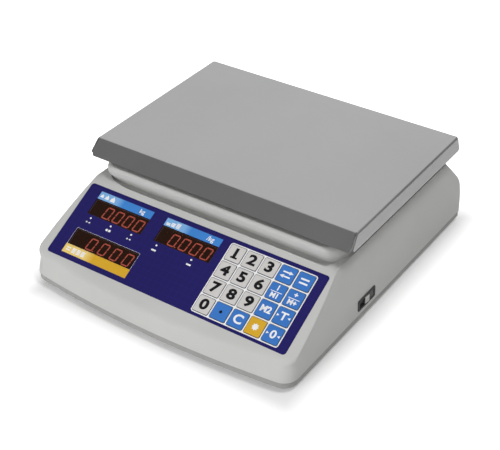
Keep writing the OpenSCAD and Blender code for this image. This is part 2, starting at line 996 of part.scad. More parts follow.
// Circuit board on the base, with its larger components
module main_board() {
    z = floor_z + standoff_h;
    stand_x = main_board_size.x / 2 - standoff_edge;
    stand_y = main_board_size.y / 2 - standoff_edge;
    color(BOARD_GREEN)
        translate([main_board_at.x, main_board_at.y, 0]) {
            translate([0, 0, z])
                linear_extrude(board_t)
                    polygon(round_rect(main_board_size.x, main_board_size.y, board_r));
            for (sx = [-1, 1])
                for (sy = [-1, 1])
                    translate([sx * stand_x, sy * stand_y, floor_z])
                        cylinder(r = boss_r, h = standoff_h);
            translate([chip_at.x, chip_at.y, z + board_t])
                cube(chip_size);
            translate([block_at.x, block_at.y, z + board_t])
                cube(block_size);
            for (i = [0:cap_n - 1])
                translate([cap_at.x, cap_at.y + i * cap_pitch, z + board_t])
                    cylinder(r = cap_r, h = cap_h);
        }
}

// Mains transformer: laminated core with its winding
module transformer() {
    color("dimgray")
        translate([transformer_at.x, transformer_at.y, floor_z]) {
            translate([-core_size.x / 2, -core_size.y / 2, 0])
                cube(core_size);
            translate([-coil_size.x / 2, -coil_size.y / 2, (core_size.z - coil_size.z) / 2])
                cube(coil_size);
            translate([-core_size.x / 2 - core_tab.x, -core_size.y / 2, 0])
                cube([core_size.x + 2 * core_tab.x, core_size.y, core_tab.y]);
        }
}

// Rechargeable battery with two blade terminals
module battery() {
    terminal = terminal_size;
    color("darkslategray")
        translate([battery_at.x, battery_at.y, floor_z]) {
            linear_extrude(battery_size.z)
                polygon(round_rect(battery_size.x, battery_size.y, battery_r));
            for (side = [-1, 1])
                translate([
                    (side * terminal_pitch - terminal.x) / 2,
                    -battery_size.y / 2 - terminal.y,
                    battery_size.z - terminal_drop
                ])
                    cube([terminal.x, terminal.y + cut, terminal.z]);
        }
}

// Mains inlet with a shaped socket and three pins
module mains_inlet() {
    depth = 27;
    socket = [24, 16.4];
    socket_depth = 21;
    bevel = 4.5;
    pin = [2, 4];
    pin_sink = 5;
    pin_pitch = 7;
    pin_row = 2;
    color(RUBBER)
        on_inlet()
            difference() {
                union() {
                    plate(inlet_flange.x, inlet_flange.y, inlet_flange_r - fit, -inlet_flange_t, 0);
                    plate(inlet_w, inlet_l, inlet_r, -depth, 0);
                }
                difference() {
                    translate([0, 0, -socket_depth])
                        linear_extrude(socket_depth + cut)
                            polygon([
                                [-socket.x / 2, socket.y / 2],
                                [socket.x / 2, socket.y / 2],
                                [socket.x / 2, bevel - socket.y / 2],
                                [socket.x / 2 - bevel, -socket.y / 2],
                                [bevel - socket.x / 2, -socket.y / 2],
                                [-socket.x / 2, bevel - socket.y / 2]
                            ]);
                    for (p = [[-pin_pitch, pin_row], [pin_pitch, pin_row], [0, -pin_row]])
                        translate([p.x - pin.x / 2, p.y - pin.y / 2, -depth])
                            cube([pin.x, pin.y, depth - pin_sink]);
                }
            }
}

// Rocker switch: bezel and body with side bearings
module power_switch_frame() {
    body = [switch_h - 2 * switch_lip, switch_l - 2 * switch_lip];
    well = [rocker_w + 2 * rocker_gap, rocker_l + 2 * rocker_gap];
    bearing_r = rocker_pin_r + bearing_clear;
    color(RUBBER)
        on_switch()
            difference() {
                union() {
                    plate(switch_h, switch_l, switch_bezel_r, 0, switch_bezel);
                    plate(body.x, body.y, switch_r, -switch_depth, switch_bezel);
                }
                plate(well.x, well.y, rocker_r, -rocker_pivot - rocker_room, switch_bezel + cut);
                translate([0, 0, -rocker_pivot])
                    rotate([0, 90, 0])
                        cylinder(r = bearing_r, h = rocker_w + 2 * bearing_l, center = true);
            }
}

// Rocker with a raised bar across its middle, pressed in at its front end
module power_rocker() {
    bar_w = 7.4;
    bar_top = 1.6;
    wing_top = -0.8;
    wing_t = 2.2;
    wing_end = 0.4;
    hub_r = 3;
    color("lightgray")
        on_switch()
            translate([0, 0, -rocker_pivot])
                rotate([rocker_tilt, 0, 0]) {
                    rotate([0, 90, 0])
                        cylinder(r = rocker_pin_r, h = rocker_w + 2 * rocker_pin_l, center = true);
                    rotate([0, 90, 0])
                        cylinder(r = hub_r, h = rocker_w, center = true);
                    translate([-rocker_w / 2, wing_end - rocker_l / 2, rocker_pivot + wing_top - wing_t])
                        cube([rocker_w, rocker_l - 2 * wing_end, wing_t]);
                    translate([-rocker_w / 2, -bar_w / 2, 0])
                        cube([rocker_w, bar_w, rocker_pivot + bar_top]);
                }
}

// Places children on the deck, where the bubble level is let in behind the load cell
module level_place() {
    translate([0, back_edge(deck_z, 0) - level_inset, deck_z])
        children();
}

module level_vial() {
    depth = 7;
    flange_t = 0.8;
    color("palegreen")
        level_place() {
            translate([0, 0, -depth])
                cylinder(r = level_r, h = depth + flange_t);
            cylinder(r = level_r + level_flange, h = flange_t);
        }
}

// Single-point load cell: a bar with a double-bored window and tapped ends
module load_cell() {
    bore_r = 7;
    bore_pitch = 24;
    slot_h = 5;
    color(ALLOY)
        translate([0, pan_y, cell_z])
            difference() {
                translate([-cell_l / 2, -cell_w / 2, 0])
                    cube([cell_l, cell_w, cell_h]);
                for (side = [-1, 1])
                    translate([side * bore_pitch / 2, 0, cell_h / 2])
                        rotate([90, 0, 0])
                            cylinder(r = bore_r, h = cell_w + 2 * cut, center = true);
                translate([-bore_pitch / 2, -cell_w / 2 - cut, (cell_h - slot_h) / 2])
                    cube([bore_pitch, cell_w + 2 * cut, slot_h]);
                for (side = [-1, 1])
                    for (y = [-1, 1])
                        translate([side * load_reach, y * bolt_pitch / 2, -cut])
                            cylinder(r = bolt_r + bolt_clear, h = cell_h + 2 * cut);
            }
}

// Pillar that carries the load cell's fixed end
module cell_pillar() {
    foot_t = 4;
    foot_reach = 8;
    foot_l = cell_end + 2 * foot_reach;
    color(ALLOY)
        translate([-load_reach, pan_y, floor_z])
            difference() {
                union() {
                    translate([-cell_end / 2, -cell_w / 2, 0])
                        cube([cell_end, cell_w, pillar_h]);
                    translate([-cell_end / 2, -foot_l / 2, 0])
                        cube([cell_end, foot_l, foot_t]);
                }
                for (y = [-1, 1])
                    translate([0, y * bolt_pitch / 2, -cut])
                        cylinder(r = bolt_r + bolt_clear, h = pillar_h + 2 * cut);
            }
}

module cell_bolts() {
    color(STEEL)
        for (y = [-1, 1])
            translate([-load_reach, pan_y + y * bolt_pitch / 2, floor_z])
                cylinder(r = bolt_r, h = pillar_h + cell_h - bolt_end);
}

// Stop screw under the load cell's free end
module overload_stop() {
    nut_r = 7;
    nut_h = 6;
    color(STEEL)
        translate([load_reach + cell_end / 2 - stop_inset, pan_y, floor_z]) {
            cylinder(r = stop_r, h = pillar_h - load_travel - press_gap);
            cylinder(r = nut_r, h = nut_h, $fn = 6);
        }
}

// Post between the load cell's free end and the pan support
module load_post() {
    step = 1;
    post = [cell_end - 2 * step, cell_w];
    color(ALLOY)
        translate([load_reach, pan_y, cell_top])
            difference() {
                translate([-post.x / 2, -post.y / 2, 0])
                    cube([post.x, post.y, web_z - cell_top]);
                for (y = [-1, 1])
                    translate([0, y * bolt_pitch / 2, -cut])
                        cylinder(r = bolt_r + bolt_clear, h = web_z - cell_top + 2 * cut);
            }
}

// Bolts from below through the load cell, and from above through the web
module post_bolts() {
    color(STEEL)
        for (y = [-1, 1])
            translate([load_reach, pan_y + y * bolt_pitch / 2, 0]) {
                translate([0, 0, cell_z])
                    screw_up(bolt_r, bolt_l, bolt_head_r, bolt_head_h);
                translate([0, 0, arm_top - web_bolt_sink - web_bolt_head_h])
                    mirror([0, 0, 1])
                        screw_up(bolt_r, web_bolt_l, bolt_head_r, web_bolt_head_h);
            }
}

// Cast cross that carries the pan: two tapered, ribbed bars through a flat hub
module pan_support() {
    root_w = 34;
    tip_w = 18;
    tip_r = 12;
    land = 0.5;
    rib_t = 4;
    hub_d = 54;
    reach = norm([arm_x, arm_y]);
    angle = atan2(arm_y, arm_x);
    hub = [cell_end + 2 * load_reach, hub_d];
    rib_root = hub.x / 2 + root_w / 4;
    seat_z = web_t - web_bolt_sink - web_bolt_head_h;
    color(ALLOY)
        translate([0, pan_y, web_z])
            difference() {
                union() {
                    translate([-hub.x / 2, -hub.y / 2, 0])
                        cube([hub.x, hub.y, web_t]);
                    for (a = [-angle, angle])
                        rotate([0, 0, a]) {
                            translate([0, 0, land])
                                linear_extrude(web_t - 2 * land)
                                    polygon([
                                        [-reach, -tip_w / 2],
                                        [0, -root_w / 2],
                                        [reach, -tip_w / 2],
                                        [reach, tip_w / 2],
                                        [0, root_w / 2],
                                        [-reach, tip_w / 2]
                                    ]);
                            for (end = [-1, 1])
                                translate([end * (reach + rib_root) / 2, 0, (web_t / 2 - rib_h) / 2])
                                    cube([reach - rib_root, rib_t, rib_h + web_t / 2], center = true);
                        }
                    for (p = pad_places)
                        translate([p.x, p.y, -rib_h - land])
                            cylinder(r = tip_r, h = rib_h + land + web_t);
                }
                for (y = [-1, 1])
                    translate([load_reach, y * bolt_pitch / 2, 0]) {
                        translate([0, 0, -cut])
                            cylinder(r = bolt_r + bolt_clear, h = web_t + 2 * cut);
                        translate([0, 0, seat_z])
                            cylinder(r = bolt_head_r + fit, h = web_t - seat_z + cut);
                    }
            }
}

module support_pads() {
    color(RUBBER)
        for (p = pad_places)
            translate([p.x, pan_y + p.y, arm_top])
                cylinder(r = pad_r, h = pad_t);
}

// One turned-down edge seen from its end, outer face first, then the inner face
function bent_edge(half, flare) =
    let (
        a = atan(flare / pan_drop),
        c = [half - pan_bend * tan((90 - a) / 2), -pan_bend],
        tip = [half + flare, -pan_drop],
        outer = concat([tip], arc(c, pan_bend, a, 90, bend_n)),
        inner = concat(arc(c, pan_bend - pan_t, 90, a, bend_n), [tip - pan_t * [cos(a), sin(a)]])
    )
    [outer, inner];

function flipped(points) = [for (i = [len(points) - 1:-1:0]) [-points[i].x, points[i].y]];

// Bent strip seen from its end: a flat top with both edges turned down and outwards
function bent_strip(half, left_flare, right_flare) =
    let (left = bent_edge(half, left_flare), right = bent_edge(half, right_flare))
    concat(right[0], flipped(left[0]), flipped(left[1]), right[1]);

// One end of a turned-down edge seen square on, with a rounded tip
function edge_end(half, flare) =
    let (low = half + flare - pan_corner_gap, r = pan_tip_r)
    concat([[half - pan_bend, cut]], arc([low - r, r - pan_drop], r, 0, -90, bend_n));

// Outline of a turned-down edge, whose ends lean out to meet the edges beside it
function edge_outline(half, left_flare, right_flare) =
    concat(edge_end(half, right_flare), flipped(edge_end(half, left_flare)));

// Pressed steel pan, with a narrow gap at its corners
module pan() {
    side = pan_flare_side;
    color(STEEL)
        translate([0, pan_y, pan_z]) {
            intersection() {
                rotate([90, 0, 90])
                    linear_extrude(2 * pan_w, center = true)
                        polygon(bent_strip(pan_d / 2, pan_flare_front, side));
                rotate([90, 0, 0])
                    linear_extrude(2 * pan_d, center = true)
                        polygon(edge_outline(pan_w / 2, side, side));
            }
            intersection() {
                rotate([90, 0, 0])
                    linear_extrude(2 * pan_d, center = true)
                        polygon(bent_strip(pan_w / 2, side, side));
                rotate([90, 0, 90])
                    linear_extrude(2 * pan_w, center = true)
                        polygon(edge_outline(pan_d / 2, pan_flare_front, side));
            }
        }
}

module foot_inserts() {
    color(BRASS)
        for (p = foot_places)
            translate([p.x, p.y, foot_h])
                difference() {
                    cylinder(r = insert_r, h = foot_boss_h);
                    translate([0, 0, -cut])
                        cylinder(r = stud_r + stud_clear, h = foot_boss_h + 2 * cut);
                }
}

module housing_screws() {
    color(STEEL)
        for (p = post_places)
            translate([p.x, p.y, foot_h + screw_head_h])
                screw_up(screw_r, screw_l, screw_head_r, screw_head_h);
}

// Levelling foot: a bevelled disc on a stud
module foot(i) {
    edge = 1.5;
    top = foot_h - foot_gap;
    color(RUBBER)
        translate(foot_places[i]) {
            rotate_extrude()
                polygon([
                    [0, 0],
                    [foot_r - edge, 0],
                    [foot_r, edge],
                    [foot_r, top - edge],
                    [foot_r - edge, top],
                    [0, top]
                ]);
            cylinder(r = stud_r, h = top + stud_l);
        }
}

lower_base();
upper_housing();
panel_overlay();
key_frame();
weight_window();
price_window();
total_window();
weight_digits();
price_digits();
total_digits();
display_board();
key_switches();
board_screws();
rear_overlay();
rear_windows();
rear_digits();
rear_board();
main_board();
transformer();
battery();
mains_inlet();
power_switch_frame();
power_rocker();
level_vial();
load_cell();
cell_pillar();
cell_bolts();
overload_stop();
load_post();
post_bolts();
pan_support();
support_pads();
pan();
foot_inserts();
housing_screws();
for (i = [0:len(FEET) - 1]) {
    foot(i);
}
for (row = [0:key_rows - 1]) {
    for (col = [0:key_cols - 1]) {
        key(col, row);
    }
}
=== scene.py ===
"""Looks of a retail counter scale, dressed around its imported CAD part."""

import json
import math

import bmesh
import bpy
from bpy.props import FloatProperty, FloatVectorProperty, IntProperty, PointerProperty
from mathutils import Matrix, Vector

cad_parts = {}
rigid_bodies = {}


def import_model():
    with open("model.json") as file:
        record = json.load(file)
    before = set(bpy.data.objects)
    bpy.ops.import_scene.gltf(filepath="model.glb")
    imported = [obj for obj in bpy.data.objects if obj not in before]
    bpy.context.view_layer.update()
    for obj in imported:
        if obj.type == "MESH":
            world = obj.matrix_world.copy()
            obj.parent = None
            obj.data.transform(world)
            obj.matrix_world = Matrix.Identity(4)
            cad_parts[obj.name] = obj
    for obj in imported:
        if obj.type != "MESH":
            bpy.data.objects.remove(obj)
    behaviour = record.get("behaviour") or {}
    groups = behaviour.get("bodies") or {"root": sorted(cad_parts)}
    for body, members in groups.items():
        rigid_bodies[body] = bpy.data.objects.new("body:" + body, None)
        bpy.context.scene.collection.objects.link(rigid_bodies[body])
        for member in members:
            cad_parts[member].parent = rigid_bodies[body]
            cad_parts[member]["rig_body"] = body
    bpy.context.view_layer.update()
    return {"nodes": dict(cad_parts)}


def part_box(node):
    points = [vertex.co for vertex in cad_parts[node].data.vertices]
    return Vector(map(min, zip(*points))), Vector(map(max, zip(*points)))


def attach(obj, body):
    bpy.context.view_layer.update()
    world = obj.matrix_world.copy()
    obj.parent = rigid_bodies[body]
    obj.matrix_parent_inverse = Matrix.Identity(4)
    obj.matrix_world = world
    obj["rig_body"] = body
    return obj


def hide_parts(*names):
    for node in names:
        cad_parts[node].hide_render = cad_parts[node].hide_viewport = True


bl_info = {
    "name": "Retail Counter Scale",
    "version": (1, 0, 0),
    "blender": (4, 5, 0),
    "location": "View3D > Sidebar > Scale",
    "description": "Dresses a counter scale: housing, panel print, displays, keys, pan and fittings",
    "category": "Add Mesh",
}

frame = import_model()
MM = 0.001
# Height of printed ink above its sheet
INK = 0.03 * MM
# Clearance round a piece that sits in an opening
FIT = 0.15 * MM
# How far a cutter stands out of the surface that it cuts
REACH = 4 * MM
# Depth of a cut that passes through a wall and what lies behind it
DEEP = 12 * MM
# Points along the front and round each corner of a level outline
FRONT_N, CORNER_N = 48, 14

# Keys by row, from the top of the panel
KEY_ROWS = (
    ("1", "2", "3", "change", "sum"),
    ("4", "5", "6", "memory_1", "memory_2"),
    ("7", "8", "9", "memory_3", "tare"),
    ("0", "point", "clear", "enter", "zero"),
)
WINDOWS = ("weight_window", "price_window", "total_window")
FEET = ("foot_front_left", "foot_front_right", "foot_rear_left", "foot_rear_right")


def place(name, description, millimetres, **limits):
    """A signed distance property whose default is given in millimetres."""
    return FloatProperty(
        name=name, description=description, default=millimetres * MM, unit="LENGTH", precision=5, **limits
    )


def length(name, description, millimetres):
    """A distance property that can't be negative."""
    return place(name, description, millimetres, min=0.0)


def angle(name, description, degrees):
    """An angle property whose default is given in degrees."""
    return FloatProperty(
        name=name, description=description, default=math.radians(degrees), subtype="ANGLE"
    )


def colour(name, description, rgb):
    """A linear colour property."""
    return FloatVectorProperty(
        name=name, description=description, default=rgb, size=3, min=0.0, max=1.0, subtype="COLOR"
    )


class BodySizes(bpy.types.PropertyGroup):
    """Sizes of the moulded body, as in the CAD part."""

    width: length("Width", "Width across the side walls", 321)
    depth: length("Depth", "Depth from the bowed front wall to the back wall", 353)
    foot_h: length("Foot Height", "Height of the underside above the table", 5)
    base_h: length("Base Height", "Height of the base tray", 7.5)
    undercut: length("Undercut", "How far the base is drawn in at its underside", 1)
    wall: length("Wall", "Thickness of the moulded walls", 2.5)
    corner_r: length("Front Corner", "Corner radius of the front wall in plan", 16)
    back_corner_r: length("Back Corner", "Corner radius of the back wall in plan", 4)
    bow: length("Bow", "How far the middle of the front wall bows forward", 10.4)
    front_lean: angle("Front Lean", "Lean of the front wall above the split line", 18)
    lean_start: length("Lean Start", "Height above the underside where the sides start to lean in", 20)
    lean_r: length("Lean Radius", "Radius of the sides' inward curve", 151)
    crease: length("Crease", "Depth over which the panel rounds into the front wall", 4)
    groove_w: length("Groove Width", "Width of the groove below the deck", 4)
    groove_depth: length("Groove Depth", "Depth of the groove below the panel's upper edge", 3.5)
    deck_step: length("Deck Step", "Height of the deck above the panel's upper edge", 10.908)
    deck_round: length("Deck Edge", "Radius of the deck's upper edge", 4)
    nose_tuck: length("Nose Tuck", "How far the deck's front edge tucks in below its nose", 7)
    nose_gap: length("Nose Gap", "Height of the gap that stays open below that nose", 2)
    deck_inset: length("Deck Inset", "How far the deck stands in from the sides", 3)
    rim_h: length("Rim", "Height of the nose's rim above the deck", 4.5)
    rim_w: length("Rim Width", "Width of that rim's flat top", 4)
    rim_end: length("Rim End", "Distance along the sides within which the rim dies out", 34)
    deck_corner_r: length("Deck Corner", "Corner radius of the deck in plan", 18)
    post_hole_r: length("Post Hole", "Radius of the hole for the load post", 28)
    post_hole_x: place("Post Hole Place", "Place of that hole across the deck", 47)
    collar_h: length("Collar", "Height of the drip collar round that hole", 3)
    back_wall_h: length("Back Wall", "Height of the upright back wall", 46.7)
    back_tilt: angle("Back Slope", "Slope of the customer's panel", 53)
    back_fillet: length("Back Fillet", "Radius between the back wall and the slope", 20)


class PanelSizes(bpy.types.PropertyGroup):
    """Sizes of the operator's and the customer's panel."""

    tilt: angle("Slope", "Slope of the operator panel", 27)
    setback: length("Setback", "Level distance from the bow to the overlay's lower edge", 20.3)
    rise: length("Rise", "Height of the overlay's lower edge above the underside", 32.4)
    overlay_w: length("Overlay Width", "Width of the printed overlay", 295.7)
    overlay_l: length("Overlay Length", "Length of the printed overlay up the slope", 88.4)
    overlay_r: length("Overlay Corner", "Corner radius of the overlay", 3.5)
    overlay_t: length("Overlay Thickness", "Thickness of the overlay", 0.6)
    border: length("Border", "Moulded border above the overlay", 7.5)
    edge_r: length("Edge Corner", "Corner radius along the panel's sides", 3)
    window_h: length("Window Height", "Height of the display windows", 19.1)
    window_t: length("Window Thickness", "Thickness of the display panes", 1.2)
    ledge: length("Window Ledge", "Ledge that carries each pane", 1)
    back_w: length("Back Overlay Width", "Width of the customer's overlay", 262)
    back_l: length("Back Overlay Height", "Height of the customer's overlay", 30)
    back_up: length("Back Overlay Place", "Distance up the slope to its middle", 25.5)
    back_window_w: length("Back Window", "Width of a customer's window", 70)
    back_pitch: length("Back Window Pitch", "Distance between the customer's windows", 82)


class KeySizes(bpy.types.PropertyGroup):
    """Sizes of the keypad."""

    columns: IntProperty(name="Columns", description="Key columns", default=5, min=1)
    rows: IntProperty(name="Rows", description="Key rows", default=4, min=1)
    pitch: length("Pitch", "Distance between keys", 20)
    cap: length("Cap", "Side of a key cap", 17.6)
    corner: length("Corner", "Corner radius of a key cap", 1.5)
    proud: length("Proud", "How far a key stands above the overlay", 0.5)
    frame_w: length("Frame Width", "Width of the white frame", 100.9)
    frame_l: length("Frame Length", "Length of the white frame", 80.9)
    frame_t: length("Frame Thickness", "Thickness of the white frame", 1.2)
    middle_u: place("Keypad Across", "Keypad's middle, from the panel's middle", 87)
    middle_v: place("Keypad Up", "Keypad's middle, up the panel", 43.75)
    outline: length("Outline", "Width of the printed line round each key", 0.38)


class Finishes(bpy.types.PropertyGroup):
    """Colours of the finishes, linear."""

    housing: colour("Housing", "Moulded grey of the housing", (0.60, 0.60, 0.585))
    base: colour("Base", "Moulded grey of the base tray", (0.37, 0.37, 0.36))
    steel: colour("Pan", "Satin steel of the pan", (0.50, 0.50, 0.50))
    navy: colour("Overlay", "Printed navy of the panel", (0.016, 0.012, 0.125))
    label: colour("Label", "Printed blue of the label bars", (0.055, 0.25, 0.68))
    label_pale: colour("Label End", "Paler left end of the label bars", (0.22, 0.47, 0.83))
    amber: colour("Bar", "Printed yellow of the total bar", (0.74, 0.43, 0.03))
    amber_pale: colour("Bar End", "Paler left end of the total bar", (0.90, 0.66, 0.20))
    key_grey: colour("Digit Keys", "Grey of the digit keys", (0.67, 0.65, 0.635))
    key_blue: colour("Blue Keys", "Blue of the function keys", (0.05, 0.20, 0.60))
    white: colour("White", "White of the key frame and print", (0.94, 0.94, 0.95))
    lit: colour("Digits", "Light of the digits", (1.0, 0.15, 0.10))
    ink: colour("Ink", "Ink of the digits on the keys", (0.008, 0.008, 0.010))
    # Key Line colour: the printed line round the keys, also painted on the caps' sides as shade
    line: colour("Key Line", "Line and edges round the keys", (0.035, 0.035, 0.05))
    black: colour("Black Plastic", "Plastic of the inlet and the switch", (0.02, 0.02, 0.02))
    wing: colour("Rocker", "Dark ends of the rocker", (0.09, 0.09, 0.09))
    rubber: colour("Rubber", "Black of the feet and the digit blocks", (0.012, 0.012, 0.012))
    pad: colour("Pads", "Rubber of the pan's pads", (0.014, 0.014, 0.014))
    alloy: colour("Alloy", "Cast alloy of the load cell and the pan's support", (0.52, 0.53, 0.55))
    zinc: colour("Zinc", "Plating of the bolts and screws", (0.55, 0.54, 0.50))
    brass: colour("Brass", "Turned brass of the foot inserts", (0.60, 0.40, 0.10))
    core: colour("Transformer", "Varnish of the transformer's core", (0.05, 0.05, 0.055))
    battery: colour("Battery", "Case of the battery", (0.03, 0.035, 0.04))


class Value:
    """A shader socket that can be used in Python arithmetic."""

    def __init__(self, graph, socket):
        self.graph = graph
        self.socket = socket

    def __add__(self, other):
        return self.graph.maths("ADD", self, other)

    __radd__ = __add__

    def __mul__(self, other):
        return self.graph.maths("MULTIPLY", self, other)

    __rmul__ = __mul__

    def __sub__(self, other):
        return self.graph.maths("SUBTRACT", self, other)

    def __rsub__(self, other):
        return self.graph.maths("SUBTRACT", other, self)


class Graph:
    """A node tree whose nodes all come from one method."""

    def __init__(self, tree):
        self.tree = tree

    def node(self, kind, settings=None, inputs=None, output=0):
        """Adds a node, sets it, fills its sockets and returns one of its outputs."""
        made = self.tree.nodes.new(kind)
        for name, value in (settings or {}).items():
            setattr(made, name, value)
        for key, value in (inputs or {}).items():
            self.fill(made.inputs[key], value)
        return Value(self, made.outputs[output])

    def fill(self, socket, value):
        """Links a Value to a socket, or sets its number or colour."""
        if isinstance(value, Value):
            self.tree.links.new(value.socket, socket)
        elif socket.type == "RGBA" and len(value) == 3:
            socket.default_value = (*value, 1.0)
        else:
            socket.default_value = value

    def maths(self, operation, *values):
        """Adds a Math node, for the operators and for what Python has no sign for."""
        return self.node("ShaderNodeMath", {"operation": operation}, dict(enumerate(values)))

    def seen(self, *kinds):
        """1 for rays of these kinds and 0 for others."""
        rays = [self.node("ShaderNodeLightPath", output=f"Is {kind} Ray") for kind in kinds]
        return sum(rays[1:], rays[0])


class Finish(Graph):
    """A material with one Principled surface."""

    def __init__(self, name, **constants):
        self.material = bpy.data.materials.new(name)
        self.material.use_nodes = True
        super().__init__(self.material.node_tree)
        self.surface = self.tree.nodes["Principled BSDF"]
        for socket, value in constants.items():
            self.set(socket.replace("_", " "), value)

    def set(self, name, value):
        """Fills a socket of the surface."""
        self.fill(self.surface.inputs[name], value)

    def place(self):
        """The point on the piece, in the part's own frame."""
        return self.node("ShaderNodeTexCoord", output="Object")

    def axis(self, letter):
        """One coordinate of that point."""
        return self.node("ShaderNodeSeparateXYZ", None, {0: self.place()}, letter)

    def noise(self, waves, detail=2.0, stretch=(1, 1, 1), rough=0.5):
        """Noise from 0 to 1, with so many waves to the metre."""
        at = self.node("ShaderNodeMapping", None, {"Vector": self.place(), "Scale": stretch})
        return self.node(
            "ShaderNodeTexNoise", None, {"Vector": at, "Scale": waves, "Detail": detail, "Roughness": rough}
        )

    def mix(self, factor, first, second):
        """A colour between two colours."""
        return self.node("ShaderNodeMix", {"data_type": "RGBA"}, {0: factor, 6: first, 7: second}, 2)

    def span(self, value, low, high):
        """A value stretched so that low becomes 0 and high becomes 1."""
        return self.node("ShaderNodeMapRange", {"clamp": True}, {0: value, 1: low, 2: high})

    def bump(self, height, strength, distance):
        """Raises the surface by a height."""
        normal = self.node(
            "ShaderNodeBump", None, {"Strength": strength, "Distance": distance, "Height": height}
        )
        self.set("Normal", normal)

    def rough(self, noise, least, rise):
        """Roughness that rises from a least value with a noise."""
        self.set("Roughness", noise * rise + least)

    def drift(self, noise, rgb, first, second, low=0.3, high=0.7):
        """A colour that drifts between two of its shades with a noise."""
        return self.mix(self.span(noise, low, high), shade(rgb, first), shade(rgb, second))


def shade(rgb, factor):
    """A colour made lighter or darker."""
    return tuple(min(1.0, c * factor) for c in rgb)


def moulded(name, rgb, roughness=0.52):
    """Spark-textured moulded plastic: fine pebble grain and slow changes of tone."""
    f = Finish(name, IOR=1.5)
    pebble, rise = f.noise(1800.0), 0.16
    f.set("Base Color", f.drift(f.noise(9.0, 3.0), rgb, 0.965, 1.03))
    f.rough(pebble, roughness - rise / 2, rise)
    f.bump(pebble, 0.05, 0.2 * MM)
    return f.material


def sheet_grain(f, least_rough, rise):
    """Gives a printed sheet its fine satin grain."""
    f.rough(f.noise(900.0, 1.0), least_rough, rise)
    f.bump(f.noise(2600.0, 1.0), 0.03, 0.1 * MM)


def printed(name, rgb, fade=None):
    """Satin printed sheet. A fade is its left end's colour and the stretch of X where that goes over."""
    f = Finish(name, IOR=1.5, Specular_IOR_Level=0.2)
    tone = f.drift(f.noise(14.0, 3.0), rgb, 0.95, 1.05)
    if fade:
        rgb_left, left, right = fade
        tone = f.mix(f.span(f.axis("X"), left, right), rgb_left, tone)
    f.set("Base Color", tone)
    sheet_grain(f, 0.48, 0.12)
    return f.material


def overlay_sheet(name, rgb):
    """Navy sheet with a faint woven grid of lighter lines, as printed on the panel."""
    f = Finish(name, IOR=1.5, Specular_IOR_Level=0.2)
    half_pitch, line, strength = 3.4 * MM, 0.7 * MM, 0.2
    across, along = (
        f.span(f.maths("PINGPONG", f.axis(letter), half_pitch), 0.0, line) for letter in ("X", "Y")
    )
    base = f.drift(f.noise(10.0, 3.0), rgb, 0.92, 1.06)
    f.set("Base Color", f.mix((1 - across * along) * strength, base, shade(rgb, 2.0)))
    sheet_grain(f, 0.45, 0.1)
    return f.material


def satin_steel(name, rgb):
    """Rolled stainless sheet with a fine grain along X."""
    f = Finish(name, Metallic=1.0)
    grain = f.noise(12.0, 4.0, (6, 220, 220), 0.6)
    cloud = f.noise(7.0, 3.0)
    f.set("Base Color", f.drift(cloud, rgb, 0.94, 1.05, 0.25, 0.75))
    f.rough(grain * 2 + cloud, 0.26, 0.08)
    f.bump(grain, 0.04, 0.05 * MM)
    return f.material


def plated(name, rgb, roughness):
    """Small plated or machined metal pieces."""
    f = Finish(name, Metallic=1.0)
    cloud, rise = f.noise(160.0, 3.0), 0.2
    f.set("Base Color", f.drift(cloud, rgb, 0.85, 1.1, 0.0, 1.0))
    f.rough(cloud, roughness - rise / 2, rise)
    f.bump(f.noise(900.0), 0.06, 0.1 * MM)
    return f.material


def rocker_with_painted_highlight(name, dark, light, middle_y, half):
    """Moulded rocker: dark wings, with a light bar painted across its middle as a highlight."""
    f = Finish(name, IOR=1.5)
    pebble, blur = f.noise(1800.0), 0.1 * MM
    # Distance from the rocker's middle: within half of it the colour is the painted highlight
    off = f.maths("ABSOLUTE", f.axis("Y") - middle_y)
    f.set("Base Color", f.mix(f.span(off, half - blur, half + blur), light, dark))
    f.rough(pebble, 0.4, 0.15)
    f.bump(pebble, 0.04, 0.2 * MM)
    return f.material


def rubber(name, rgb):
    """Matt rubber with a dusty bloom."""
    f = Finish(name, IOR=1.5)
    bloom = f.noise(60.0, 4.0)
    f.set("Base Color", f.drift(bloom, rgb, 1.0, 2.2, 0.35, 0.75))
    f.rough(bloom, 0.7, 0.15)
    f.bump(f.noise(1500.0), 0.1, 0.2 * MM)
    return f.material


def tinted_pane(name):
    """Dark red-brown filter pane over the digits."""
    f = Finish(name, IOR=1.45, Alpha=0.8, Specular_IOR_Level=0.25)
    cloud = f.noise(40.0)
    f.set("Base Color", f.mix(cloud, (0.020, 0.006, 0.002), (0.028, 0.009, 0.003)))
    f.rough(cloud, 0.28, 0.06)
    return f.material


def lamp(name, rgb, strength):
    """A glowing segment, a little paler in places."""
    f = Finish(name, Base_Color=shade(rgb, 0.3), Roughness=0.5, Emission_Strength=strength)
    paler = tuple(0.9 * c + 0.1 for c in rgb)
    f.set("Emission Color", f.mix(f.noise(500.0), rgb, paler))
    return f.material


def board(name):
    """Green circuit board with copper tracks under the lacquer."""
    f = Finish(name, IOR=1.5)
    tracks = f.node("ShaderNodeTexVoronoi", {"distance": "MANHATTAN"}, {"Vector": f.place(), "Scale": 260.0})
    f.set("Base Color", f.mix(f.span(tracks, 0.35, 0.45), (0.004, 0.09, 0.025), (0.012, 0.15, 0.045)))
    f.rough(tracks, 0.25, 0.2)
    return f.material


def fluid(name):
    """Tinted fluid of the bubble level, uneven in tone."""
    f = Finish(name, IOR=1.45, Alpha=0.85)
    cloud = f.noise(220.0, 1.0)
    f.set("Base Color", f.mix(cloud, (0.38, 0.62, 0.12), (0.55, 0.78, 0.25)))
    f.rough(cloud, 0.06, 0.05)
    return f.material


